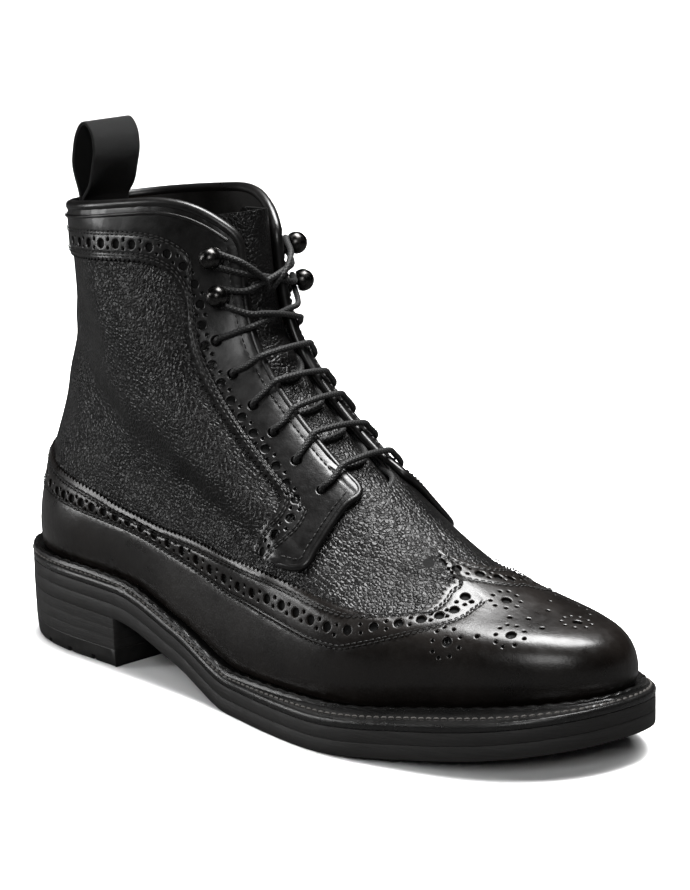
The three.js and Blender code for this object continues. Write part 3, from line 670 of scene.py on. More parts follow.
def leather(name, outline, material, node=None, top=0.0, bottom=-1.0, holes=(), guides=(),
            grooves=(), spacing=2.6, bend=bent_level, roll=0.4, folds=True):
    """A sheet of leather with its real thickness, rolled rims and pressed stitch lines."""
    places, triangles = triangulate(outline, holes, guides, spacing, bend)
    triangles = weld(places, triangles)
    base, normal = axes_at(*places.T, bend)[:2]
    outward = (face_normals(base, triangles) * normal[triangles[:, 0]]).sum(1)
    triangles[outward < 0] = triangles[outward < 0][:, ::-1]
    top = top(base) if callable(top) else np.full(len(base), float(top))
    bottom = bottom(base) if callable(bottom) else np.full(len(base), float(bottom))
    rims = border_edges(triangles)
    top_relief = top.copy()
    for loops, depth, reach in (([outline], roll, EDGE_REACH), (holes, HOLE_ROLL, HOLE_REACH)):
        if loops:
            tree = tree_of(on_last(*np.vstack(loops).T, bend))
            away = np.array([tree.find(point)[2] for point in base])
            top_relief -= depth * (1 - np.clip(away / reach, 0, 1)) ** 2
    for groove in grooves:
        near = line_distance(base, on_last(*groove.T, bend))
        top_relief -= GROOVE_DEPTH * np.exp(-((near / GROOVE_HALF) ** 2))
    crease = creases_at(base) if folds else np.zeros(len(base))
    upper = base + normal * (top_relief + crease)[:, None]
    under = base + normal * (bottom + crease)[:, None]
    used = np.unique(triangles)
    index = np.full(len(base), -1)
    index[used] = np.arange(len(used))
    triangles = index[triangles]
    upper, under, base, normal = upper[used], under[used], base[used], normal[used]
    count = len(used)
    walls = [(index[a], index[b], index[b] + count, index[a] + count) for a, b in rims]
    points = np.vstack([upper, under])
    faces = triangles.tolist() + (triangles[:, ::-1] + count).tolist()
    faces += [wall[::-1] for wall in walls]
    shape = unit(normal + smooth_normals(upper, triangles) - smooth_normals(base, triangles))
    loops = [shape[k] for face in triangles for k in face]
    loops += [-normal[k] for face in triangles[:, ::-1] for k in face]
    for wall in walls:
        a, b, c, d = points[list(wall[::-1])]
        loops += [unit(np.cross(b - a, d - b))] * 4
    return make_object(name, points, faces, material, node, loops)


# Stitches, each a small bent capsule that dips into the leather at both ends
CAPSULE_RINGS = ((-0.5, 0.0), (-0.42, 0.75), (-0.15, 1.0), (0.15, 1.0), (0.42, 0.75), (0.5, 0.0))
CAPSULE_SIDES = 5


def capsule(length, radius):
    points = []
    for x, share in CAPSULE_RINGS:
        lift = radius * 0.9 * (1 - (2 * x) ** 2)
        for k in range(CAPSULE_SIDES):
            angle = 2 * math.pi * k / CAPSULE_SIDES
            size = max(share, 0.05) * radius
            points.append((x * length, size * math.cos(angle), lift + size * math.sin(angle)))
    return np.array(points), np.array(turned_over(ring_faces(len(CAPSULE_RINGS), CAPSULE_SIDES)))


def stitch_points(points, normals, pitch, length, radius, slant=0.0):
    """Stitches along a line of surface points."""
    along = lengths_along(points)
    at = np.arange(pitch / 2, along[-1], pitch)
    if not len(at):
        return np.zeros((0, 3)), np.zeros((0, 4), int)
    middle = resample(points, at)
    run = unit(resample(points, np.minimum(at + 0.3, along[-1])) - resample(points, np.maximum(at - 0.3, 0)))
    up = unit(resample(normals, at, along))
    side = unit(np.cross(up, run))
    run = unit(run + side * slant)
    side = unit(np.cross(up, run))
    shape, faces = capsule(length, radius)
    placed = (
        middle[:, None] + shape[None, :, 0:1] * run[:, None]
        + shape[None, :, 1:2] * side[:, None] + shape[None, :, 2:3] * up[:, None]
    )
    steps = (np.arange(len(at)) * len(shape))[:, None, None]
    return placed.reshape(-1, 3), (faces[None] + steps).reshape(-1, 4)


def stitches(name, rows, material, pitch=2.5, length=1.9, radius=0.27, slant=0.0):
    """One piece from many rows, each a pair of surface points and normals."""
    points, faces, count = [], [], 0
    for row_points, row_normals in rows:
        new, new_faces = stitch_points(row_points, row_normals, pitch, length, radius, slant)
        points.append(new)
        faces.append(new_faces + count)
        count += len(new)
    return make_object(name, np.vstack(points), np.vstack(faces).tolist(), material)


def on_leather(line, height, spacing=0.8, bend=bent_level):
    """Points and normals of a line that lies on a sheet of leather."""
    line = even(line, spacing, bend)
    base, normal = axes_at(*line.T, bend)[:2]
    top = height(base) if callable(height) else height
    return base + normal * (top + creases_at(base))[:, None], normal


# Cords and rolls
def tube(points, radius, sides=10):
    """Points and faces of a round tube along evenly spaced points."""
    run = unit(np.gradient(points, axis=0))
    across = np.zeros_like(points)
    guess = np.array([0.0, 0.0, 1.0]) if abs(run[0][2]) < 0.9 else np.array([1.0, 0.0, 0.0])
    across[0] = unit(np.cross(guess, run[0]))
    for k in range(1, len(points)):
        across[k] = unit(across[k - 1] - run[k] * (across[k - 1] @ run[k]))
    third = np.cross(run, across)
    angle = 2 * np.pi * np.arange(sides) / sides
    radius = np.broadcast_to(np.asarray(radius, float), (len(points),))
    ring = across[:, None] * np.cos(angle)[None, :, None] + third[:, None] * np.sin(angle)[None, :, None]
    shape = (points[:, None] + ring * radius[:, None, None]).reshape(-1, 3)
    return shape, ring_faces(len(points), sides) + caps(len(points), sides)


# Materials
def material(name, colour, roughness, coat=0.0, coat_roughness=0.3, metallic=0.0):
    made = bpy.data.materials.new(name)
    made.use_nodes = True
    shader = shader_of(made)
    shader.inputs["Base Color"].default_value = (*colour, 1)
    shader.inputs["Roughness"].default_value = roughness
    shader.inputs["Metallic"].default_value = metallic
    shader.inputs["Coat Weight"].default_value = coat
    shader.inputs["Coat Roughness"].default_value = coat_roughness
    return made


def add_node(made, kind, **values):
    node = made.node_tree.nodes.new("ShaderNode" + kind)
    for key, value in values.items():
        if hasattr(node, key) and key not in node.inputs:
            setattr(node, key, value)
        else:
            node.inputs[key].default_value = value
    return node


def link(made, output, socket):
    made.node_tree.links.new(output, socket)


def place_of(made, stretch=(1, 1, 1), uv=False):
    """Texture places in millimetres, stretched by axis."""
    source = add_node(made, "TexCoord")
    scaled = add_node(made, "Mapping", vector_type="POINT")
    factor = 1 if uv else 1000
    scaled.inputs["Scale"].default_value = [factor * share for share in stretch]
    link(made, source.outputs["UV" if uv else "Object"], scaled.inputs["Vector"])
    return scaled.outputs["Vector"]


def noise(made, place, size, detail=3, rough=0.5):
    node = add_node(made, "TexNoise", Scale=1 / size, Detail=detail, Roughness=rough)
    link(made, place, node.inputs["Vector"])
    return node.outputs["Fac"]


def ranged(made, value, low=0, high=1, start=0.3, end=0.7):
    """A texture's value spread from low to high between two of its levels."""
    node = add_node(made, "MapRange")
    node.inputs["From Min"].default_value = start
    node.inputs["From Max"].default_value = end
    node.inputs["To Min"].default_value = low
    node.inputs["To Max"].default_value = high
    link(made, value, node.inputs["Value"])
    return node.outputs["Result"]


def blend_colours(made, factor, first, second):
    node = add_node(made, "Mix", data_type="RGBA")
    colours = [socket for socket in node.inputs if socket.type == "RGBA"]
    colours[0].default_value = (*first, 1)
    colours[1].default_value = (*second, 1)
    link(made, factor, node.inputs["Factor"])
    return [socket for socket in node.outputs if socket.type == "RGBA"][0]


def add_values(made, first, second, kind="ADD"):
    node = add_node(made, "Math", operation=kind)
    for socket, value in zip(node.inputs, (first, second)):
        if isinstance(value, (int, float)):
            socket.default_value = value
        else:
            link(made, value, socket)
    return node.outputs["Value"]


def shader_of(made):
    return made.node_tree.nodes["Principled BSDF"]


def set_bump(made, height, depth, strength=1.0):
    """Bump from a height of 0 to 1, with its depth in millimetres."""
    node = add_node(made, "Bump", Strength=strength, Distance=depth / 1000)
    link(made, height, node.inputs["Height"])
    link(made, node.outputs["Normal"], shader_of(made).inputs["Normal"])
    return node


def set_rough(made, value):
    link(made, value, shader_of(made).inputs["Roughness"])


def set_colour(made, factor, dark, light):
    link(made, blend_colours(made, factor, dark, light), shader_of(made).inputs["Base Color"])


def plain_surface(name, dark, light, patch, smooth, rough, bump_size, depth,
                  details=(4, 3, 0.5), metallic=0.0):
    """Colour and shine that drift in soft patches of a size, over a fine bump."""
    middle = [(low + high) / 2 for low, high in zip(dark, light)]
    made = material(name, middle, rough, metallic=metallic)
    place = place_of(made)
    broad = noise(made, place, patch, details[0])
    set_colour(made, ranged(made, broad), dark, light)
    set_rough(made, ranged(made, broad, smooth, rough))
    set_bump(made, noise(made, place, bump_size, *details[1:]), depth)
    return made


def calf_leather(name, dark, light):
    """Smooth waxed calf: fine pores, faint streaks and softer patches of shine."""
    made = material(name, dark, 0.36, coat=0.25, coat_roughness=0.2)
    place = place_of(made)
    broad = noise(made, place, 22, 3)
    fine = noise(made, place, 0.55, 2, 0.6)
    middle = noise(made, place, 3.5, 4, 0.6)
    set_colour(made, ranged(made, broad), dark, light)
    set_rough(made, ranged(made, add_values(made, broad, middle), 0.26, 0.42, 0.7, 1.3))
    height = add_values(made, ranged(made, fine, 0, 0.35), ranged(made, middle))
    set_bump(made, height, 0.05)
    return made


GRAIN_COLOURS = ((0.0035, 0.0033, 0.0033), (0.0085, 0.008, 0.0078))
PEBBLE = 1.6


def grain_leather():
    """Pebble grain: rounded cells parted by narrow creases, a little unlike each other in size."""
    made = material("grain", (0.006, 0.006, 0.006), 0.38)
    shader_of(made).inputs["Specular IOR Level"].default_value = 0.38
    place = place_of(made)
    warp = add_node(made, "TexNoise", Scale=1 / 2.5, Detail=2)
    link(made, place, warp.inputs["Vector"])
    mixed = add_node(made, "VectorMath", operation="MULTIPLY_ADD")
    link(made, warp.outputs["Color"], mixed.inputs[0])
    mixed.inputs[1].default_value = (1.1, 1.1, 1.1)
    link(made, place, mixed.inputs[2])
    cells = add_node(made, "TexVoronoi", feature="DISTANCE_TO_EDGE", Scale=1 / PEBBLE)
    link(made, mixed.outputs["Vector"], cells.inputs["Vector"])
    pebble = ranged(made, cells.outputs["Distance"], 0, 1, 0.0, 0.3)
    fine = noise(made, place, 0.4, 2)
    broad = noise(made, place, 18, 3)
    set_colour(made, ranged(made, broad), *GRAIN_COLOURS)
    set_rough(made, ranged(made, broad, 0.29, 0.4))
    set_bump(made, add_values(made, pebble, ranged(made, fine, 0, 0.12)), 0.2)
    return made


def edge_leather(name, dark, light, smooth, rough, coat):
    """Inked and burnished edge, with streaks along the layers."""
    made = material(name, dark, rough, coat=coat, coat_roughness=0.25)
    streaks = noise(made, place_of(made, (0.02, 0.02, 1)), 0.28, 4, 0.6)
    broad = noise(made, place_of(made), 9, 4)
    fine = noise(made, place_of(made), 0.5, 3, 0.6)
    set_colour(made, ranged(made, streaks), dark, light)
    set_rough(made, ranged(made, broad, smooth, rough))
    set_bump(made, add_values(made, ranged(made, streaks), ranged(made, fine, 0, 0.4)), 0.05)
    return made


# Near-black matt material of the discs under the punched holes: painted shade in the holes.
def hole_shade_cloth():
    made = material("hole_shade", (0.004, 0.004, 0.004), 0.9)
    set_rough(made, ranged(made, noise(made, place_of(made), 0.5), 0.85, 0.98))
    return made


def slanted_wave(made, place, angle, scale, distortion):
    """Straight ribs that run at an angle over the texture places."""
    slanted = add_node(made, "Mapping")
    slanted.inputs["Rotation"].default_value = (0, 0, angle)
    link(made, place, slanted.inputs["Vector"])
    wave = add_node(made, "TexWave", wave_type="BANDS", bands_direction="X", Scale=scale,
                    Distortion=distortion)
    link(made, slanted.outputs["Vector"], wave.inputs["Vector"])
    return wave.outputs["Fac"]


def braided_cord():
    """Waxed round lace: two sets of strands that cross round it, its colour darker in the grooves between
    strands as painted shade.
    """
    made = material("lace", (0.012, 0.012, 0.012), 0.5, coat=0.05, coat_roughness=0.4)
    shader_of(made).inputs["Sheen Weight"].default_value = 0.06
    place = place_of(made, uv=True)
    strands = [slanted_wave(made, place, angle, 2.6, 0.4) for angle in (0.72, -0.72)]
    braid = add_values(made, *strands, kind="MULTIPLY")
    # Colour darkens where the braid is low: painted shade in the grooves between strands.
    set_colour(made, braid, (0.004, 0.004, 0.004), (0.016, 0.0155, 0.0155))
    set_rough(made, ranged(made, braid, 0.62, 0.4, 0, 1))
    set_bump(made, braid, 0.16)
    return made


def webbing_cloth():
    """Matt twill webbing with slanted ribs and a straight edge, its colour darker in the grooves between
    yarns as painted shade.
    """
    made = material("webbing", (0.005, 0.005, 0.005), 0.85)
    shader_of(made).inputs["Sheen Weight"].default_value = 0.08
    shader_of(made).inputs["Sheen Roughness"].default_value = 0.5
    place = place_of(made, uv=True)
    ribs = slanted_wave(made, place, 0.6, 2.6, 0.3)
    yarns = add_node(made, "TexWave", wave_type="BANDS", bands_direction="Y", Scale=5.5, Distortion=0.3)
    link(made, place, yarns.inputs["Vector"])
    weave = add_values(made, ribs, yarns.outputs["Fac"], kind="MULTIPLY")
    # Colour darkens where the weave is low: painted shade in the grooves between yarns.
    set_colour(made, weave, (0.002, 0.002, 0.002), (0.012, 0.012, 0.012))
    set_rough(made, ranged(made, weave, 0.95, 0.75, 0, 1))
    set_bump(made, weave, 0.22)
    return made


CALF = calf_leather("calf", (0.0035, 0.0033, 0.0033), (0.008, 0.0074, 0.0072))
WING_CALF = calf_leather("wing_calf", (0.0055, 0.0042, 0.0035), (0.0125, 0.0095, 0.0078))
GRAIN = grain_leather()
LINING = plain_surface(
    "lining", (0.008, 0.0075, 0.007), (0.017, 0.0155, 0.0145), 12, 0.5, 0.7, 0.7, 0.06,
)
EDGE = edge_leather("edge", (0.017, 0.0165, 0.016), (0.034, 0.033, 0.032), 0.42, 0.6, 0.0)
LIFTS = edge_leather("lifts", (0.021, 0.0205, 0.02), (0.042, 0.041, 0.04), 0.4, 0.56, 0.05)
WELT_EDGE = edge_leather("welt_edge", (0.006, 0.006, 0.006), (0.014, 0.0135, 0.013), 0.22, 0.36, 0.35)
RUBBER = plain_surface(
    "rubber", (0.015, 0.015, 0.0145), (0.034, 0.033, 0.032), 7, 0.42, 0.62, 0.35, 0.05, (4, 3, 0.7),
)
INSOLE_LEATHER = plain_surface(
    "insole", (0.15, 0.085, 0.04), (0.25, 0.155, 0.085), 14, 0.45, 0.65, 0.6, 0.05,
)
METAL = plain_surface(
    "gunmetal", (0.035, 0.034, 0.033), (0.085, 0.082, 0.08), 1.5, 0.18, 0.34, 0.3, 0.01, (4, 2, 0.5), 1.0,
)
CORD = braided_cord()
WEBBING_CLOTH = webbing_cloth()
# Painted shade for the punched holes
HOLE_SHADE = hole_shade_cloth()
THREAD, WELT_THREAD = (
    plain_surface(name, dark, light, 0.35, 0.4, 0.62, 0.35, 0.06, (2, 2, 0.5))
    for name, dark, light in (
        ("thread", (0.012, 0.012, 0.012), (0.035, 0.034, 0.033)),
        ("welt_thread", (0.07, 0.066, 0.062), (0.16, 0.15, 0.14)),
    )
)


# Borders of the panels
LINING_TOP = -1.15
LINING_BOTTOM = -2.2
OVERLAY_BOTTOM = 0.1
# Lift of the painted-shade discs under the punched holes
HOLE_SHADE_LIFT = 0.07
THROAT_LOW = 0.632
THROAT_TIP = 0.614
CORNER_ROUND = 5
ROWS = 1.5
TAB_RAISE = 1.6
TAB_REACH = 16


def between(line, low, high):
    """The stretch of a surface line between two distances along it."""
    along = lengths_along(on_last(*line.T))
    keep = (along > low) & (along < high)
    ends = resample(line, np.array([low, high]), along)
    return np.vstack([ends[:1], line[keep], ends[1:]])


def length_of(line):
    return lengths_along(on_last(*line.T))[-1]


def join_round(first, second, radius):
    """Joins two surface lines that meet in a corner by a smooth curve."""
    corner = first[-1]
    first = between(first, 0, length_of(first) - radius)
    second = between(second, radius, length_of(second))
    t = np.linspace(0, 1, 9)[1:-1, None]
    curve = first[-1] * (1 - t) ** 2 + corner * 2 * t * (1 - t) + second[0] * t**2
    return np.vstack([first, curve, second])


def top_line(spacing=2.0):
    """Edge of the collar from the outer throat corner round the back to the inner one."""
    ends = [turn_at_reach(1.0, side, throat_half(1.0)) for side in SIDES]
    turn = np.linspace(float(ends[0]), float(ends[1]), 400)
    return even(np.stack([turn, np.ones(400)], axis=1), spacing)


def opening(low):
    """Throat and collar edge in one, from the outer side's foot to the inner side's."""
    up = even(throat_edge(-1, low, 1), 2.0)
    down = even(throat_edge(1, low, 1), 2.0)[::-1]
    return join_round(join_round(up, top_line(), CORNER_ROUND), down, CORNER_ROUND)


def foot_curve(side):
    """Rounded foot of the throat from its edge to the middle."""
    start = float(turn_at_reach(THROAT_LOW, side, throat_half(THROAT_LOW)))
    angle = np.linspace(0, np.pi / 2, 12)
    turn = side * 0.5 - (side * 0.5 - start) * np.cos(angle)
    return np.stack([turn, THROAT_LOW - (THROAT_LOW - THROAT_TIP) * np.sin(angle)], axis=1)


eyelet_places = [lace_seat(level, side) for level in EYELET_LEVELS for side in SIDES]
eyelet_holes = [circle(place, EYELET / 2, 14) for place in eyelet_places]
tab_front = {side: turns_of(FACING_TAB, side) for side in SIDES}
tab_lines = [on_last(*tab_front[side].T) for side in SIDES]


def facing_top(points):
    """The facing's face, raised towards the tab's front where leather is turned under."""
    near = np.minimum(*(line_distance(points, line) for line in tab_lines))
    return OVERLAY + TAB_RAISE * smooth_step(1 - near / TAB_REACH)


def seam(low, high, turn, count=60):
    return np.stack([np.full(count, float(turn)), np.linspace(low, high, count)], axis=1)


def bottom_edge(start, end, level):
    turn = np.linspace(start, end, 300)
    return np.stack([turn, np.full(300, level)], axis=1)


def outline_of(*lines):
    """One closed outline from lines that follow each other."""
    places = np.vstack(lines)
    flat = places * (FLAT_TURN, FLAT_LEVEL)
    apart = np.linalg.norm(np.diff(flat, axis=0, append=flat[:1]), axis=1)
    return places[apart > 0.05]


def base_outline(low_level):
    feet = [foot_curve(side) for side in SIDES]
    return outline_of(
        bottom_edge(-0.5, 0.5, low_level),
        seam(low_level, THROAT_TIP, 0.5)[1:-1],
        feet[1][::-1],
        opening(THROAT_LOW)[::-1],
        feet[0],
        seam(low_level, THROAT_TIP, -0.5)[1:-1][::-1],
    )


def base_panels():
    leather("quarters", base_outline(0.0), GRAIN, "upper", top=0.0, bottom=-LEATHER,
            holes=eyelet_holes, spacing=2.8)
    leather("lining", base_outline(0.004), LINING, "upper", top=LINING_TOP, bottom=LINING_BOTTOM,
            holes=eyelet_holes, spacing=3.4, roll=0.2)


# Overlays
TOOTH_PITCH = 2.4
TOOTH_DEPTH = 1.2
HOLE = 1.8
PINHOLE = 0.65
HOLE_PITCH = 8.2
PAIR_APART = 3.4
RIM_RINGS = (0.25, 0.55)


def facing_border():
    """The facing's rear and lower edge, from the outer tab round the back to the inner tab."""
    outer = turns_of(FACING_REAR, -1)[::-1]
    inner = turns_of(FACING_REAR, 1)[1:]
    line = np.vstack([outer, inner])
    return even(smooth_path(line, 900), 1.2)


def tab_edge(side):
    """The tab's front edge from its lower corner up to the throat."""
    line = even(smooth_path(tab_front[side], 60), 1.5)
    points = on_last(*line.T)
    middle = np.abs(points[:, 1])
    level = line[:, 1]
    return line[middle > throat_half(level) + 0.4]


def brogue_holes(line, distance, phase=0.5):
    """Large holes with pairs of pinholes between, along a border."""
    middle = shifted(line, -distance)
    total = length_of(middle)
    count = round(total / HOLE_PITCH)
    step = total / count
    along = lengths_along(on_last(*middle.T))
    large = resample(middle, (np.arange(count) + phase) * step, along)
    at = (np.arange(count - 1) + phase + 0.5) * step
    holes = [circle(place[None], HOLE, 14) for place in large]
    for offset in (-PAIR_APART / 2, PAIR_APART / 2):
        side_line = moved(middle, sideways(middle) * offset)
        holes += [circle(place[None], PINHOLE, 8) for place in resample(side_line, at, along)]
    return holes


def guides_for(rows):
    """Guide lines in and beside stitch rows."""
    lines = []
    for row in rows:
        lines += [even(row, ROWS)] + [even(shifted(row, side * 0.8), ROWS) for side in SIDES]
    return lines


def rim_guides(holes):
    """Rings round holes that keep a rolled rim narrow."""
    lines = []
    for hole in holes:
        base = on_last(*hole.T)
        away = unit(base - base.mean(axis=0))
        for distance in RIM_RINGS:
            ring = moved(hole, away * distance)
            lines.append(np.vstack([ring, ring[:1]]))
    return lines


def inset(line, distance, trim=1.5):
    """A line inside a border, kept a little away from the border's ends."""
    new = even(shifted(line, -distance), ROWS)
    total = length_of(new)
    return between(new, trim, total - trim)


WING_ROWS = (3.0, 4.1, 14.3, 15.5)
WING_HOLES = 9.2
FACING_ROWS = (2.3, 3.4, 10.6, 11.7)
FACING_HOLES = 6.9
TAB_ROW = 2.6
TAB_ROUND = 4.5
THROAT_ROW = 3.2
WING_TURNS = (0.452, 0.44)
WING_TIP = (0.535, 0.515)
WING_OUTER = ((0.557, 0.452), (0.545, 0.486))
WING_INNER = ((0.51, 0.485), (0.48, 0.468), (0.4446, 0.452))


def wing_border():
    """The wing's upper edge, from the back seam by the outer side over the toe to the inner side."""
    outer, inner = (
        turns_of([row for row in WING_BORDER if row[0] < turn or row[1] < 0.5], side)
        for side, turn in zip(SIDES, WING_TURNS)
    )
    outer[:, 0] += 1
    outer[0, 0] = 1.0
    lines = ([*outer, *WING_OUTER, WING_TIP], [WING_TIP, *WING_INNER, *inner[::-1]])
    return [even(smooth_path(line, 500), 1.2) for line in lines]


def near_place(x, y):
    """Place on the toe whose point has a given x and y."""
    place = np.array([[0.5 - 0.0001, 0.42]])
    for _ in range(40):
        point, _, du, dv = axes_at(*place.T)
        matrix = np.array([[du[0, 0], dv[0, 0]], [du[0, 1], dv[0, 1]]])
        step = np.linalg.solve(matrix, np.array([x, y]) - point[0, :2])
        place = place + np.clip(step, -0.02, 0.02)
    return place


ROSETTES = ((277.5, 6.5), (251.0, -2.5), (266.5, -17.0), (247.5, -30.0), (266.5, 27.0), (247.0, 25.0))
ROSETTE_RING = 5.4
TOE_DOTS = (
    (264.5, -5.5), (259.0, -9.5), (264.5, 5.0), (258.5, 12.5), (256.5, -24.0), (256.5, 24.5), (272.5, -7.0),
    (273.5, 17.5), (243.0, -12.5), (242.5, 9.5),
)


def medallion():
    holes = []
    for x, y in ROSETTES:
        place = near_place(x, y)
        holes.append(circle(place, HOLE, 14))
        ring = circle(place, ROSETTE_RING, 9)
        holes += [circle(row[None], PINHOLE, 8) for row in ring]
    for x, y in TOE_DOTS:
        holes.append(circle(near_place(x, y), PINHOLE * 1.3, 8))
    return holes


def hole_shade(name, holes):
    """Matt black discs under the punched holes: painted shade that makes the holes read dark."""
    points, faces = [], []
    for hole in holes:
        base, normal = axes_at(*hole.T)[:2]
        centre = base.mean(axis=0)
        start = sum(len(part) for part in points)
        points.append(centre + (base - centre) * 1.25 + normal * HOLE_SHADE_LIFT)
        faces.append(tuple(range(start, start + len(hole))))
    make_object(name, np.vstack(points), faces, HOLE_SHADE)


def wing_panel():
    outer, inner = wing_border()
    low = 0.012
    rows = [inset(line, distance) for line in (outer, inner) for distance in WING_ROWS]
    holes = brogue_holes(outer, WING_HOLES) + brogue_holes(inner, WING_HOLES) + medallion()
    top = zigzag(outer, TOOTH_PITCH, TOOTH_DEPTH), zigzag(inner, TOOTH_PITCH, TOOTH_DEPTH)
    back = outer[0, 1]
    outline = outline_of(
        bottom_edge(0, 1, low), seam(low, back, 1.0)[1:-1], top[0], top[1][1:],
        seam(low, back, 0.0)[1:-1][::-1],
    )
    leather("wing_panel", outline, WING_CALF, "wing", top=OVERLAY, bottom=OVERLAY_BOTTOM,
            holes=holes, guides=guides_for(rows) + rim_guides(holes), grooves=rows)
    hole_shade("wing_hole_shade", holes)
    return rows


def facing_panel():
    border = facing_border()
    rows = [inset(border, distance) for distance in FACING_ROWS]
    edges = {side: tab_edge(side) for side in SIDES}
    low = edges[-1][-1, 1]
    throat = opening(low)
    rows += [inset(edges[side], side * TAB_ROW) for side in SIDES] + throat_stitch_lines(low)
    front = join_round(join_round(edges[1], throat[::-1], TAB_ROUND), edges[-1][::-1], TAB_ROUND)
    outline = outline_of(zigzag(border, TOOTH_PITCH, TOOTH_DEPTH), front)
    punched = brogue_holes(border, FACING_HOLES)
    holes = punched + eyelet_holes
    leather("facing_panel", outline, CALF, "facing", top=facing_top, bottom=OVERLAY_BOTTOM,
            holes=holes, guides=guides_for(rows) + rim_guides(holes), grooves=rows)
    hole_shade("facing_hole_shade", punched)
    return rows, front


def throat_stitch_lines(low):
    lines = []
    for side in SIDES:
        level = np.linspace(low + 0.02, 0.975, 80)
        turn = turn_at_reach(level, side, throat_half(level) + THROAT_ROW)
        lines.append(even(np.stack([turn, level], axis=1), ROWS))
    return lines


def relaxed(points, rounds):
    for _ in range(rounds):
        points = points.copy()
        points[1:-1] = (points[:-2] + 2 * points[1:-1] + points[2:]) / 4
    return points


ROLL_RADIUS = 1.9
ROLL_SWELL = 0.25
ROLL_START = 0.93
TAB_HEAD = 0.655
TAB_FADE = 0.04
TAB_ROLL = 0.52
BEAD_BELOW = 3.0
BEAD_RADIUS = 0.75


def collar_binding(edge):
    """Rolled edge round the collar that runs on down both throat edges and along the tabs' fronts."""
    line = even(edge, 1.0)
    base, normal, _, up = axes_at(*line.T)
    high = smooth_step((line[:, 1] - ROLL_START) / (1 - ROLL_START))
    tab = smooth_step((TAB_HEAD - line[:, 1]) / TAB_FADE)
    face = facing_top(base)
    middle = (1 - tab) * (OVERLAY + LINING_BOTTOM) / 2 + tab * face / 2
    radius = (1 - tab) * (ROLL_RADIUS + ROLL_SWELL * high) + tab * face * TAB_ROLL
    points = relaxed(base + normal * middle[:, None], 6) + unit(up) * high[:, None]
    shape, faces = tube(points, radius, 14)
    make_object("collar_roll", shape, faces, CALF, "collar_binding", sharp=60)
    low = top_line(1.0)
    below = moved(low, -unit(axes_at(*low.T)[3]) * BEAD_BELOW)
    base, normal = axes_at(*below.T)[:2]
    bead = base + normal * (OVERLAY + 0.15)
    shape, faces = tube(between_points(bead, 6), BEAD_RADIUS)
    make_object("collar_bead", shape, faces, CALF, sharp=60)


def between_points(points, trim):
    along = lengths_along(points)
    return resample(points, np.arange(trim, along[-1] - trim, 1.0))


wing_rows = wing_panel()
facing_rows, throat_line = facing_panel()
base_panels()
collar_binding(throat_line)
stitch_rows = [on_leather(row, OVERLAY) for row in wing_rows]
stitch_rows += [on_leather(row, facing_top) for row in facing_rows]
stitches("upper_stitches", stitch_rows, THREAD)


# Sole
OUTLINE_POINTS = 440
RIB_WIDTH = 2.4
RIB_HEIGHT = 1.8
RIB_LEAN = 1.3
RIB_INSIDE = -(2 * CLEARANCE + OVERLAY + RIB_LEAN)
RIB_OUTSIDE = RIB_INSIDE - RIB_WIDTH
RIB_WAVE = 7
INSOLE = 2.6
WELT_LOW = OUTSOLE + MIDSOLE
LAYER_GAP = 0.05
EDGE_FULL = 0.03


def even_turns(count):
    turn = np.linspace(0, 1, 6001)
    line = np.stack(section_point(sole_size, share_at(turn), side_at(turn)), axis=1)
    along = lengths_along(line)
    return np.interp(np.arange(count) * along[-1] / count, along, turn)


sole_turns = even_turns(OUTLINE_POINTS)


def outline_points(size):
    return np.stack(section_point(size, share_at(sole_turns), side_at(sole_turns)), axis=1)


sole_line = outline_points(sole_size)
feather_line = outline_points(sized(SECTIONS[0]))
ring_length = np.linalg.norm(np.roll(sole_line, -1, axis=0) - sole_line, axis=1).sum()


def inset_points(line, distance):
    """The outline moved inwards, or outwards where the distance is negative."""
    along = unit(np.roll(line, -1, axis=0) - np.roll(line, 1, axis=0))
    return line + np.stack([along[:, 1], -along[:, 0]], axis=1) * np.asarray(distance).reshape(-1, 1)


def on_sole(flat, height):
    """Ring of points at a height over the bottom of the sole."""
    return np.column_stack([flat, sole_bottom(flat[:, 0]) + height])


def stacked(name, rings, material, node, closed=False):
    """Skin over rings of equal count, with caps in strips from side to side, or closed on itself."""
    count = len(rings[0])
    faces = turned_over(ring_faces(len(rings), count, closed))
    if not closed:
        last = (len(rings) - 1) * count
        for k in range(count // 2):
            strip = tuple(dict.fromkeys((k, k + 1, count - k - 1, (count - k) % count)))
            faces += [strip, tuple(corner + last for corner in strip[::-1])]
    return make_object(name, np.vstack(rings), faces, material, node, sharp=40)


def edge_rings(low, high, soft):
    """Rings of a sole layer's edge, with soft corners and a slightly full face."""
    steps = (
        (soft, low), (soft * 0.3, low + soft * 0.3), (0, low + soft), (-EDGE_FULL, (low + high) / 2),
        (0, high - soft), (soft * 0.3, high - soft * 0.3), (soft, high - 0.01),
    )
    return [on_sole(inset_points(sole_line, distance), height) for distance, height in steps]


def sole_layers():
    for name, low, high, soft, slot in (
        ("outsole", 0, OUTSOLE, 0.3, "rubber"), ("midsole", OUTSOLE, WELT_LOW, 0.14, "edge"),
    ):
        stacked(name + "_layer", edge_rings(low, high - LAYER_GAP, soft), EDGE, name)


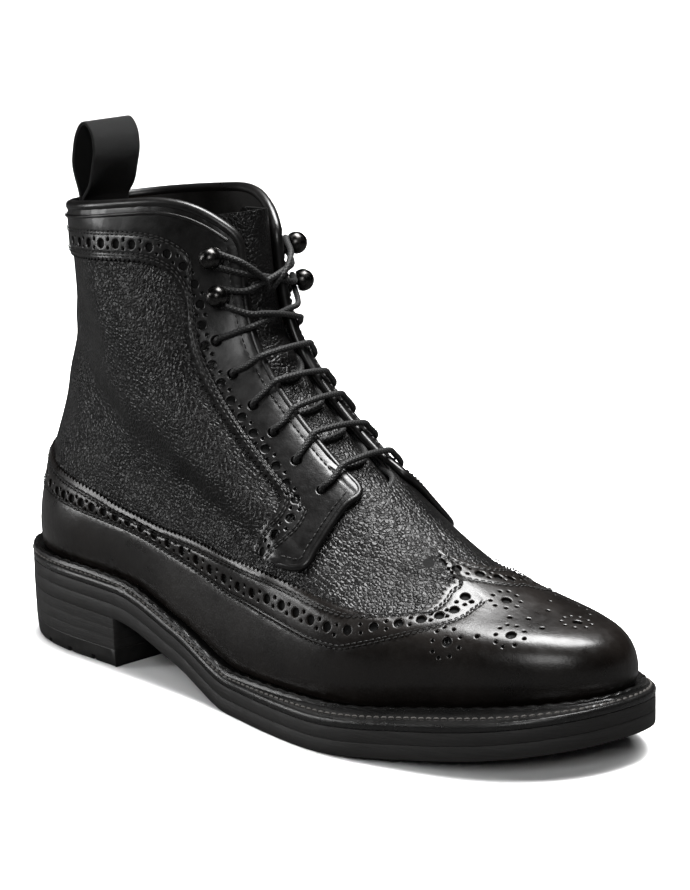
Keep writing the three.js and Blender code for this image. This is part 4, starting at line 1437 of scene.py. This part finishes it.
def welt():
    """Welt with a stitch groove, and a storm rib that stands against the upper."""
    rib = inset_points(feather_line, RIB_OUTSIDE)

    def across(share, height):
        return on_sole(sole_line * (1 - share) + rib * share, height)

    def ribbed(distance, height):
        return on_sole(inset_points(feather_line, distance), height)

    along = np.arange(OUTLINE_POINTS) / OUTLINE_POINTS
    wave = 0.22 * np.sin(2 * np.pi * along * round(ring_length / RIB_WAVE))
    rings = [
        on_sole(inset_points(sole_line, 0.3), WELT_LOW + 0.05),
        on_sole(inset_points(sole_line, 0), WELT_LOW + 0.4),
        on_sole(inset_points(sole_line, -0.1), WELT_LOW + WELT * 0.55),
        on_sole(inset_points(sole_line, 0.15), SOLE - 0.5),
        on_sole(inset_points(sole_line, 0.6), SOLE - 0.1),
        across(0.3, SOLE + 0.02), across(0.42, SOLE - 0.08), across(0.48, SOLE - 0.5),
        across(0.64, SOLE - 0.5), across(0.7, SOLE - 0.05), across(0.93, SOLE + 0.05),
        ribbed(RIB_OUTSIDE, SOLE + 0.5),
        ribbed(RIB_OUTSIDE + 0.15, SOLE + RIB_HEIGHT * 0.75 + wave),
        ribbed(RIB_OUTSIDE + 0.8, SOLE + RIB_HEIGHT + wave),
        ribbed(RIB_OUTSIDE + 1.6, SOLE + RIB_HEIGHT + wave),
        ribbed(RIB_INSIDE - 0.1, SOLE + RIB_HEIGHT * 0.7 + wave),
        ribbed(RIB_INSIDE + 0.3, SOLE + 0.3),
        ribbed(3, SOLE), ribbed(3, WELT_LOW + 0.05),
    ]
    stacked("welt_strip", rings, WELT_EDGE, "welt", closed=True)
    row = across(0.56, SOLE - 0.42)
    row = np.vstack([row, row[:1]])
    up = np.tile([0.0, 0.0, 1.0], (len(row), 1))
    stitches("welt_stitches", [(row, up)], WELT_THREAD, pitch=3.0, length=2.3, radius=0.42)


def insole():
    inner = WALL + 2 * CLEARANCE
    low = SOLE + CLEARANCE
    rings = [on_sole(inset_points(feather_line, inner + soft), low + height)
             for soft, height in ((0.3, 0), (0, 0.4), (0, INSOLE - 0.8), (0.5, INSOLE - 0.15), (2, INSOLE))]
    stacked("insole_sock", rings, INSOLE_LEATHER, "insole")


# Heel
LIFTS_COUNT = 3
LIFT_GROOVE = 0.035
BREAST_POINTS = 24
HEEL_POINTS = 160


def heel_line():
    """The heel's outline: the sole's own edge, closed by a straight breast with soft corners."""
    inner, outer = np.split(sole_line, 2)
    ends = [np.append(HEEL_LENGTH, np.interp(HEEL_LENGTH, *line.T)) for line in (inner, outer[::-1])]
    t = np.linspace(0, 1, BREAST_POINTS)[:, None]
    breast = ends[0] * (1 - t) + ends[1] * t
    inner, outer = (line[line[:, 0] <= HEEL_LENGTH] for line in (inner, outer))
    closed = np.vstack([inner[:-1], breast, outer[1:], inner[:1]])
    return resample(closed, np.arange(HEEL_POINTS) * lengths_along(closed)[-1] / HEEL_POINTS)


def heel_ring(line, distance, z):
    flat = inset_points(line, distance)
    return np.column_stack([flat, np.broadcast_to(z, (len(flat),))])


def heel():
    line = heel_line()
    taper = HEEL_TAPER * TOP_PIECE / HEEL_HEIGHT
    rings = []
    top = sole_bottom(line[:, 0]) - LAYER_GAP
    foot = TOP_PIECE + LAYER_GAP
    for lift in range(LIFTS_COUNT):
        for part, groove in ((0.0, LIFT_GROOVE), (0.06, 0.0), (0.94, 0.0), (1.0, LIFT_GROOVE)):
            share = (lift + part) / LIFTS_COUNT
            height = foot + (top - foot) * share
            rings.append(heel_ring(line, taper * (1 - share) + groove, height))
    stacked("heel_lifts", rings, LIFTS, "heel_stack")
    shape = (
        (1.0, 0.0), (0.45, 0.35), (0.1, 1.0),
        (0, TOP_PIECE / 2), (0, TOP_PIECE - 0.4), (0.3, TOP_PIECE - 0.02),
    )
    rings = [heel_ring(line, HEEL_TAPER - (HEEL_TAPER - taper) * height / TOP_PIECE + soft, height)
             for soft, height in shape]
    notch(stacked("heel_top", rings, RUBBER, "heel_top_piece"))


def notch(piece):
    """Cuts the small notches in the edge of the top piece."""
    blocks, faces = [], []
    for k in range(NOTCHES):
        for side in SIDES:
            x, y = section_point(sole_size, HEEL_LENGTH / LENGTH * (k + 1) / (NOTCHES + 1), float(side))
            corners = np.array([(a, b, c) for a in (-1, 1) for b in (-1, 1) for c in (-1, 1)], float)
            corners = corners * (NOTCH_SIZE / 2, NOTCH_DEPTH, NOTCH_SIZE) + (x, y, 0)
            low = len(blocks) * 8
            blocks.append(corners)
            sides = ((0, 1, 3, 2), (4, 6, 7, 5), (0, 4, 5, 1), (2, 3, 7, 6), (0, 2, 6, 4), (1, 5, 7, 3))
            faces += [tuple(low + corner for corner in face) for face in sides]
    mesh = bpy.data.meshes.new("notches")
    mesh.from_pydata(to_frame(np.vstack(blocks)).tolist(), [], faces)
    cutter = new_object("notches", mesh)
    cut = piece.modifiers.new("notches", "BOOLEAN")
    cut.operation = "DIFFERENCE"
    cut.object = cutter
    cut.solver = "EXACT"
    done = piece.evaluated_get(bpy.context.evaluated_depsgraph_get())
    mesh = bpy.data.meshes.new_from_object(done)
    piece.modifiers.clear()
    piece.data = mesh
    bpy.data.objects.remove(cutter)


# Tongue
TONGUE_OUTER = -2.9
TONGUE_UNDER = -4.4
TONGUE_THICK = 2.0
TONGUE_FLAT = 8
TONGUE_SLOPE = 6
TONGUE_CORNER = 9


def tongue_top(points):
    """The tongue lies close behind the throat and a little deeper under the facings."""
    reach = np.abs(points[:, 1])
    return TONGUE_OUTER + (TONGUE_UNDER - TONGUE_OUTER) * smooth_step((reach - TONGUE_FLAT) / TONGUE_SLOPE)


def tongue():
    level = np.linspace(TONGUE_FOOT, TONGUE_HEAD, 80)
    edges = []
    for side in SIDES:
        turn = turn_at_reach(level, side, TONGUE_REACH, no_bend)
        edges.append(np.stack([np.where(turn < 0, turn + 1, turn), level], axis=1))
    outer, inner = edges
    top = np.linspace(outer[-1], inner[-1], 60)
    low = np.linspace(inner[0], outer[0], 60)
    ring = join_round(join_round(inner, top[::-1], TONGUE_CORNER), outer[::-1], TONGUE_CORNER)
    outline = outline_of(ring, low[::-1][1:-1])
    leather("tongue_strip", outline, GRAIN, "tongue", top=tongue_top,
            bottom=lambda points: tongue_top(points) - TONGUE_THICK, bend=no_bend, folds=False)


# Laces
LACE_RADIUS = LACE / 2
LACE_SIDES = 12
LACE_SPACING = 0.9
LACE_DEEP = -5.2
BEAD = 1.2
LACE_RISE = 0.043
BAR_ARCH = 1.6
BAR_TILTS = (0.001, -0.002, 0.0015, -0.001, 0.002)


def lace_point(level, side, share, distance, lift, bend=bent_level):
    """A point of the lace, over the facing's face by the lift."""
    turn = turn_at_reach(level, side, throat_half(level) * share + distance, bend)
    base, normal = axes_at(np.atleast_1d(turn), np.atleast_1d(level), bend)[:2]
    return (base + normal * (facing_top(base) + lift))[0]


def from_eyelet(level, side, tilt=0.0):
    """The stretch up through an eyelet and over the facing, square to the throat, to the throat's edge."""
    return [
        lace_point(level, side, 1, EYELET_SETBACK, LACE_DEEP),
        lace_point(level, side, 1, EYELET_SETBACK, -2.6),
        lace_point(level, side, 1, EYELET_SETBACK, -0.4),
        lace_point(level + LACE_RISE * 0.1, side, 1, EYELET_SETBACK * 0.92, LACE_RADIUS * 0.85),
        lace_point(level + LACE_RISE * 0.4 + tilt, side, 1, EYELET_SETBACK * 0.62, LACE_RADIUS + 0.3),
        lace_point(level + LACE_RISE * 0.75 + tilt, side, 1, EYELET_SETBACK * 0.28, LACE_RADIUS + 0.6),
        lace_point(level + LACE_RISE + tilt, side, 1, 0, LACE_RADIUS + BEAD),
    ]


def over_gap(first, last, level, arch):
    """Points between two throat edges, on a slight arch."""
    normal = axes_at(np.array([0.5]), np.array([level]))[1][0]
    shares = (0.25, 0.5, 0.75)
    return [first + (last - first) * share + normal * arch * math.sin(math.pi * share) for share in shares]


def lace_bar(level, tilt=0.0):
    """One bar of the lace, from under one eyelet over the throat and down the other."""
    outer, inner = (from_eyelet(level, side, side * tilt) for side in SIDES)
    return smooth_path(outer + over_gap(outer[-1], inner[-1], level + LACE_RISE, BAR_ARCH) + inner[::-1], 120)


def lace_under(low, high):
    """The hidden crossing from an outer eyelet to the next inner one."""
    route = (
        (0, -1, 1, EYELET_SETBACK, LACE_DEEP), (0.15, -1, 1, 3, -5.6), (0.35, -1, 0.6, 0, -3.4),
        (0.5, -1, 0, 0.01, -3.0),
        (0.65, 1, 0.6, 0, -3.4), (0.85, 1, 1, 3, -5.6), (1, 1, 1, EYELET_SETBACK, LACE_DEEP),
    )
    return smooth_path([lace_point(low + (high - low) * rise, *place) for rise, *place in route], 60)


HOOK_FLANGE = 0.8
HOOK_NECK = 3.0
HOOK_GAP = 3.0
HOOK_BASE = OVERLAY + 3 * CLEARANCE - 0.55


def hook_axes(level, side):
    place = lace_seat(level, side, HOOK_SETBACK)
    base, normal, _, up = axes_at(*place.T)
    normal, up = normal[0], unit(up)[0]
    return base[0], normal, up, np.cross(normal, up) * -side


def round_hook(level, side):
    """Half a turn of lace round a hook's neck, on the side away from the throat."""
    base, normal, up, away = hook_axes(level, side)
    lift = HOOK_BASE + HOOK_FLANGE + LACE_RADIUS + 0.3
    radius = HOOK_NECK / 2 + LACE_RADIUS + 0.1
    angle = np.radians(np.linspace(-80, 80, 7))[:, None]
    return list(base + normal * lift + radius * (np.cos(angle) * away + np.sin(angle) * up))


def hook_strand(side):
    """From the last eyelet over to the other side's lower hook, round it, back to this side's upper hook."""
    start = EYELET_LEVELS[-1]
    first, second = HOOK_LEVELS
    stack = 0.7 if side > 0 else -0.6
    edge = LACE_RADIUS + BEAD + 0.3
    below = from_eyelet(start, side)
    to_first = lace_point(first - LACE_RISE * 0.3, -side, 1, 0, edge)
    from_first = lace_point(first + LACE_RISE * 0.7, -side, 1, 0, edge)
    to_second = lace_point(second, side, 1, 0, edge)
    return smooth_path([
        *below, *over_gap(below[-1], to_first, start + LACE_RISE, BAR_ARCH + stack), to_first,
        *round_hook(first, -side), from_first,
        *over_gap(from_first, to_second, second, BAR_ARCH + stack), to_second,
        *round_hook(second, side),
    ], 220)


def free_end(side):
    """The lace's end, from the upper hook back to the throat and in behind the top crossing."""
    second = HOOK_LEVELS[1]
    start = round_hook(second, side)[-1]
    edge = lace_point(second + LACE_RISE * 0.5, side, 1, 0, LACE_RADIUS + BEAD + 0.4)
    return smooth_path([
        start,
        start * 0.6 + edge * 0.4,
        edge,
        lace_point(second + LACE_RISE * 0.3, side, 0.6, 0, LACE_RADIUS + 0.4),
        lace_point(second, side, 0.3, 0, -0.4),
        lace_point(second - LACE_RISE * 0.35, side, 0.15, 0, -2.6),
    ], 40)


def lace_tubes(name, paths, node):
    """One piece from several stretches of lace, with texture places along and round each."""
    points, faces, places, count = [], [], [], 0
    for path in paths:
        total = lengths_along(path)[-1]
        line = resample(path, np.linspace(0, total, max(3, round(total / LACE_SPACING) + 1)))
        shape, new = tube(line, LACE_RADIUS, LACE_SIDES)
        along = lengths_along(line)
        for face in new:
            rings = [along[k // LACE_SIDES] for k in face]
            rounds = [k % LACE_SIDES for k in face]
            if len(face) == 4:
                rounds = [rounds[0], rounds[0] + 1, rounds[0] + 1, rounds[0]]
            places += [(ring / 10, turn / LACE_SIDES) for ring, turn in zip(rings, rounds)]
            faces.append(tuple(k + count for k in face))
        points.append(shape)
        count += len(shape)
    piece = make_object(name, np.vstack(points), faces, CORD, node, sharp=60)
    set_places(piece, "cord", places)
    return piece


def laces():
    paths = [lace_bar(level, tilt) for level, tilt in zip(EYELET_LEVELS[:-1], BAR_TILTS)]
    paths += [lace_under(low, high) for low, high in zip(EYELET_LEVELS, EYELET_LEVELS[1:])]
    paths += [hook_strand(side) for side in SIDES]
    lace_tubes("lace_run", paths, "lace")
    for side, word in zip(SIDES, ("outer", "inner")):
        path = free_end(side)
        piece = lace_tubes("lace_tip_" + word, [path], "lace_end_" + word)


# Hooks
def spun(name, profile, place, normal, material, node, count=28):
    """A turned piece from (radius, height) points, standing along a normal."""
    first = unit(np.cross(normal, [0.3, 0.2, 0.9]))
    second = np.cross(normal, first)
    angle = 2 * np.pi * np.arange(count)[:, None] / count
    ring = np.cos(angle) * first + np.sin(angle) * second
    points = [place + normal * height + ring * radius for radius, height in profile]
    faces = ring_faces(len(profile), count) + caps(len(profile), count)
    return make_object(name, np.vstack(points), faces, material, node)


def hooks():
    radius = HOOK / 2
    neck_top = HOOK_FLANGE + HOOK_GAP
    middle = neck_top + radius * 0.5
    ball = [(radius * math.cos(angle), middle + radius * math.sin(angle))
            for angle in np.radians(np.linspace(-30, 86, 16))]
    neck = HOOK_NECK / 2
    profile = [
        (radius - 0.5, 0), (radius - 0.3, 0.15),
        (radius - 0.3, HOOK_FLANGE - 0.35), (radius - 0.6, HOOK_FLANGE),
        (neck + 0.3, HOOK_FLANGE + 0.1), (neck, HOOK_FLANGE + 0.4),
        (neck, neck_top - 0.3), (neck + 0.3, neck_top),
        (radius * 0.8, neck_top), *ball,
    ]
    for k, level in enumerate(HOOK_LEVELS):
        for side, word in zip(SIDES, ("outer", "inner")):
            base, normal, _, _ = hook_axes(level, side)
            spun(f"hook_{word}_stud_{k + 1}", profile, base + normal * HOOK_BASE, normal, METAL,
                 f"hook_{word}_{k + 1}")


# Pull loop
LOOP_TAIL = 14
LOOP_COLUMNS = 14
BINDING = 4.2
LOOP_MIDDLE = (
    (0, 0), (-0.04, 0.25), (0.02, 0.5), (0.18, 0.78), (0.48, 0.955),
    (0.78, 0.96), (1.05, 0.8), (1.06, 0.52), (0.66, 0.22),
)


def back_inside(distance, depth):
    """Inner face of the collar's back at a distance from the middle plane."""
    low, high = 0.0, 0.25
    for _ in range(30):
        middle = (low + high) / 2
        base, normal = axes_at(np.array([middle]), np.array([1.0]))[:2]
        point = (base - normal * depth)[0]
        low, high = (low, middle) if point[1] > distance else (middle, high)
    return point


def pull_loop():
    thick = WEBBING_THICK
    depth = max(WALL, BINDING / 2 - (OVERLAY - 0.05 + CLEARANCE - WALL) / 2) + CLEARANCE
    start = back_inside(0, depth)
    middle = [(a * LOOP_DEPTH, b * LOOP_HEIGHT) for a, b in LOOP_MIDDLE]
    path = smooth_path(middle + [(thick, 0)], 70)
    tails = [np.array([(0, -LOOP_TAIL * (1 - k / 8)) for k in range(8)]),
             np.array([(thick * 1.02, -LOOP_TAIL * (k + 1) / 8) for k in range(8)])]
    path = np.vstack([tails[0], path, tails[1]])
    path = relaxed(resample(path, np.linspace(0, lengths_along(path)[-1], 120)), 2)
    run = unit(np.gradient(path, axis=0))
    face = np.stack([-run[:, 1], run[:, 0]], axis=1)
    half = WEBBING / 2
    flat = np.linspace(-half + 0.25, half - 0.25, LOOP_COLUMNS)
    section = [(-half, -0.25)] + [(y, -0.5) for y in flat] + [(half, -0.25), (half, 0.25)]
    section += [(y, 0.5) for y in flat[::-1]] + [(-half, 0.25)]
    curved = {y: back_inside(abs(y), depth)[0] - start[0] for y, _ in section}
    top = start[2] + BINDING
    along = lengths_along(path)
    rings = []
    for (x, z), (fx, fz) in zip(path, face):
        fade = smooth_step(1 - z / (LOOP_HEIGHT / 2))
        middle_x = start[0] + thick / 2 + x
        rings.append([(middle_x + fx * thick * w + curved[y] * fade, y, top + z + fz * thick * w)
                      for y, w in section])
    count = len(section)
    faces = ring_faces(len(rings), count) + caps(len(rings), count)
    places = [(along[corner // count], section[corner % count][0]) for face in faces for corner in face]
    piece = make_object("webbing_loop", np.array(rings).reshape(-1, 3), faces, WEBBING_CLOTH,
                        "pull_loop", sharp=40)
    set_places(piece, "cloth", places)


sole_layers()
welt()
insole()
heel()
tongue()
laces()
hooks()
pull_loop()


# Camera, at the photograph's angle and distance, shifted and zoomed to frame the one boot
CAMERA_TURN = 43.2
CAMERA_RISE = 13.6
CAMERA_DISTANCE = 1200
CAMERA_ROLL = -0.49
CAMERA_TARGET = (220.7, 0, 106.6)
CAMERA_FOCUS = 2550
CAMERA_ZOOM = 1.28
CAMERA_SHIFT = -0.117
SENSOR = 36
PHOTO_HEIGHT = 890


def camera():
    turn, rise = math.radians(CAMERA_TURN), math.radians(CAMERA_RISE)
    back = Vector((math.sin(turn) * math.cos(rise), -math.cos(turn) * math.cos(rise), math.sin(rise)))
    right = Vector((math.cos(turn), math.sin(turn), 0))
    up = back.cross(right)
    roll = math.radians(CAMERA_ROLL)
    rolled_right = right * math.cos(roll) + up * math.sin(roll)
    rolled_up = up * math.cos(roll) - right * math.sin(roll)
    data = bpy.data.cameras.new("camera")
    made = new_object("camera", data)
    place = Vector(to_frame(CAMERA_TARGET)) + back * (CAMERA_DISTANCE / 1000)
    made.matrix_world = Matrix((
        (rolled_right.x, rolled_up.x, back.x, place.x),
        (rolled_right.y, rolled_up.y, back.y, place.y),
        (rolled_right.z, rolled_up.z, back.z, place.z),
        (0, 0, 0, 1),
    ))
    data.sensor_width = SENSOR
    data.sensor_fit = "AUTO"
    data.lens = CAMERA_FOCUS * CAMERA_ZOOM * SENSOR / PHOTO_HEIGHT
    data.shift_x = CAMERA_SHIFT
    data.clip_start = 0.05
    bpy.context.scene.camera = made


# Floor and light. The floor and the room are white to the eye and dim in reflections.
FLOOR_HALF = 8
FLOOR_DIM = 0.035
FLOOR_PALE = 0.85
FLOOR_LIGHT = 4.2
SUN_SPREAD = 60
SUN_LEAN = -14
ROOM_DIM = 0.012
SOFTBOXES = (
    ("top_light", (0.0, 0.25, 1.3), (0.0, 0, 0.05), (0.9, 0.6), 36),
    ("left_light", (-1.3, -0.95, 0.3), (0, 0, 0.1), (0.3, 0.5), 5),
    ("ankle_light", (-1.0, -1.15, 0.75), (0, 0, 0.1), (0.25, 0.3), 4),
    ("front_light", (1.3, -1.6, 1.2), (0, 0, 0.1), (0.8, 0.8), 12),
)


def seen_by_eye(nodes, links, first, second):
    """Mixes two shaders, the second one for what the eye sees directly."""
    mix = nodes.new("ShaderNodeMixShader")
    path = nodes.new("ShaderNodeLightPath")
    links.new(path.outputs["Is Camera Ray"], mix.inputs[0])
    links.new(first, mix.inputs[1])
    links.new(second, mix.inputs[2])
    return mix.outputs["Shader"]


def floor():
    mesh = bpy.data.meshes.new("floor")
    corners = [(x * FLOOR_HALF, y * FLOOR_HALF, 0) for x, y in ((-1, -1), (1, -1), (1, 1), (-1, 1))]
    mesh.from_pydata(corners, [], [(0, 1, 2, 3)])
    made = bpy.data.materials.new("floor")
    made.use_nodes = True
    nodes, links = made.node_tree.nodes, made.node_tree.links
    nodes.remove(nodes["Principled BSDF"])
    shades = []
    for tone in (FLOOR_DIM, FLOOR_PALE):
        diffuse = nodes.new("ShaderNodeBsdfDiffuse")
        diffuse.inputs["Color"].default_value = (tone, tone, tone, 1)
        shades.append(diffuse.outputs["BSDF"])
    shade = seen_by_eye(nodes, links, *shades)
    links.new(shade, nodes["Material Output"].inputs["Surface"])
    mesh.materials.append(made)
    piece = new_object("floor", mesh)
    return piece


def room(strength):
    made = bpy.data.worlds.new("studio")
    made.use_nodes = True
    nodes, links = made.node_tree.nodes, made.node_tree.links
    dim = nodes["Background"]
    dim.inputs["Color"].default_value = (1, 1, 1, 1)
    dim.inputs["Strength"].default_value = strength
    white = nodes.new("ShaderNodeBackground")
    white.inputs["Color"].default_value = (1, 1, 1, 1)
    white.inputs["Strength"].default_value = 1.0
    shade = seen_by_eye(nodes, links, dim.outputs["Background"], white.outputs["Background"])
    links.new(shade, nodes["World Output"].inputs["Surface"])
    bpy.context.scene.world = made


def softbox(name, place, target, size, power):
    data = bpy.data.lights.new(name, "AREA")
    data.shape = "RECTANGLE"
    data.size, data.size_y = size
    data.energy = power
    made = new_object(name, data)
    made.location = place
    made.rotation_euler = (Vector(target) - Vector(place)).to_track_quat("-Z", "Y").to_euler()


def floor_light(ground, strength):
    """Even soft light that falls on the floor alone, for its contact shadow."""
    data = bpy.data.lights.new("floor_light", "SUN")
    data.energy = strength
    data.angle = math.radians(SUN_SPREAD)
    made = new_object("floor_light", data)
    made.rotation_euler = (math.radians(SUN_LEAN), 0, 0)
    lit = bpy.data.collections.new("lit_floor")
    lit.objects.link(ground)
    made.light_linking.receiver_collection = lit


camera()
floor_light(floor(), FLOOR_LIGHT)
room(ROOM_DIM)
for light in SOFTBOXES:
    softbox(*light)
bpy.context.scene.view_settings.view_transform = "Standard"
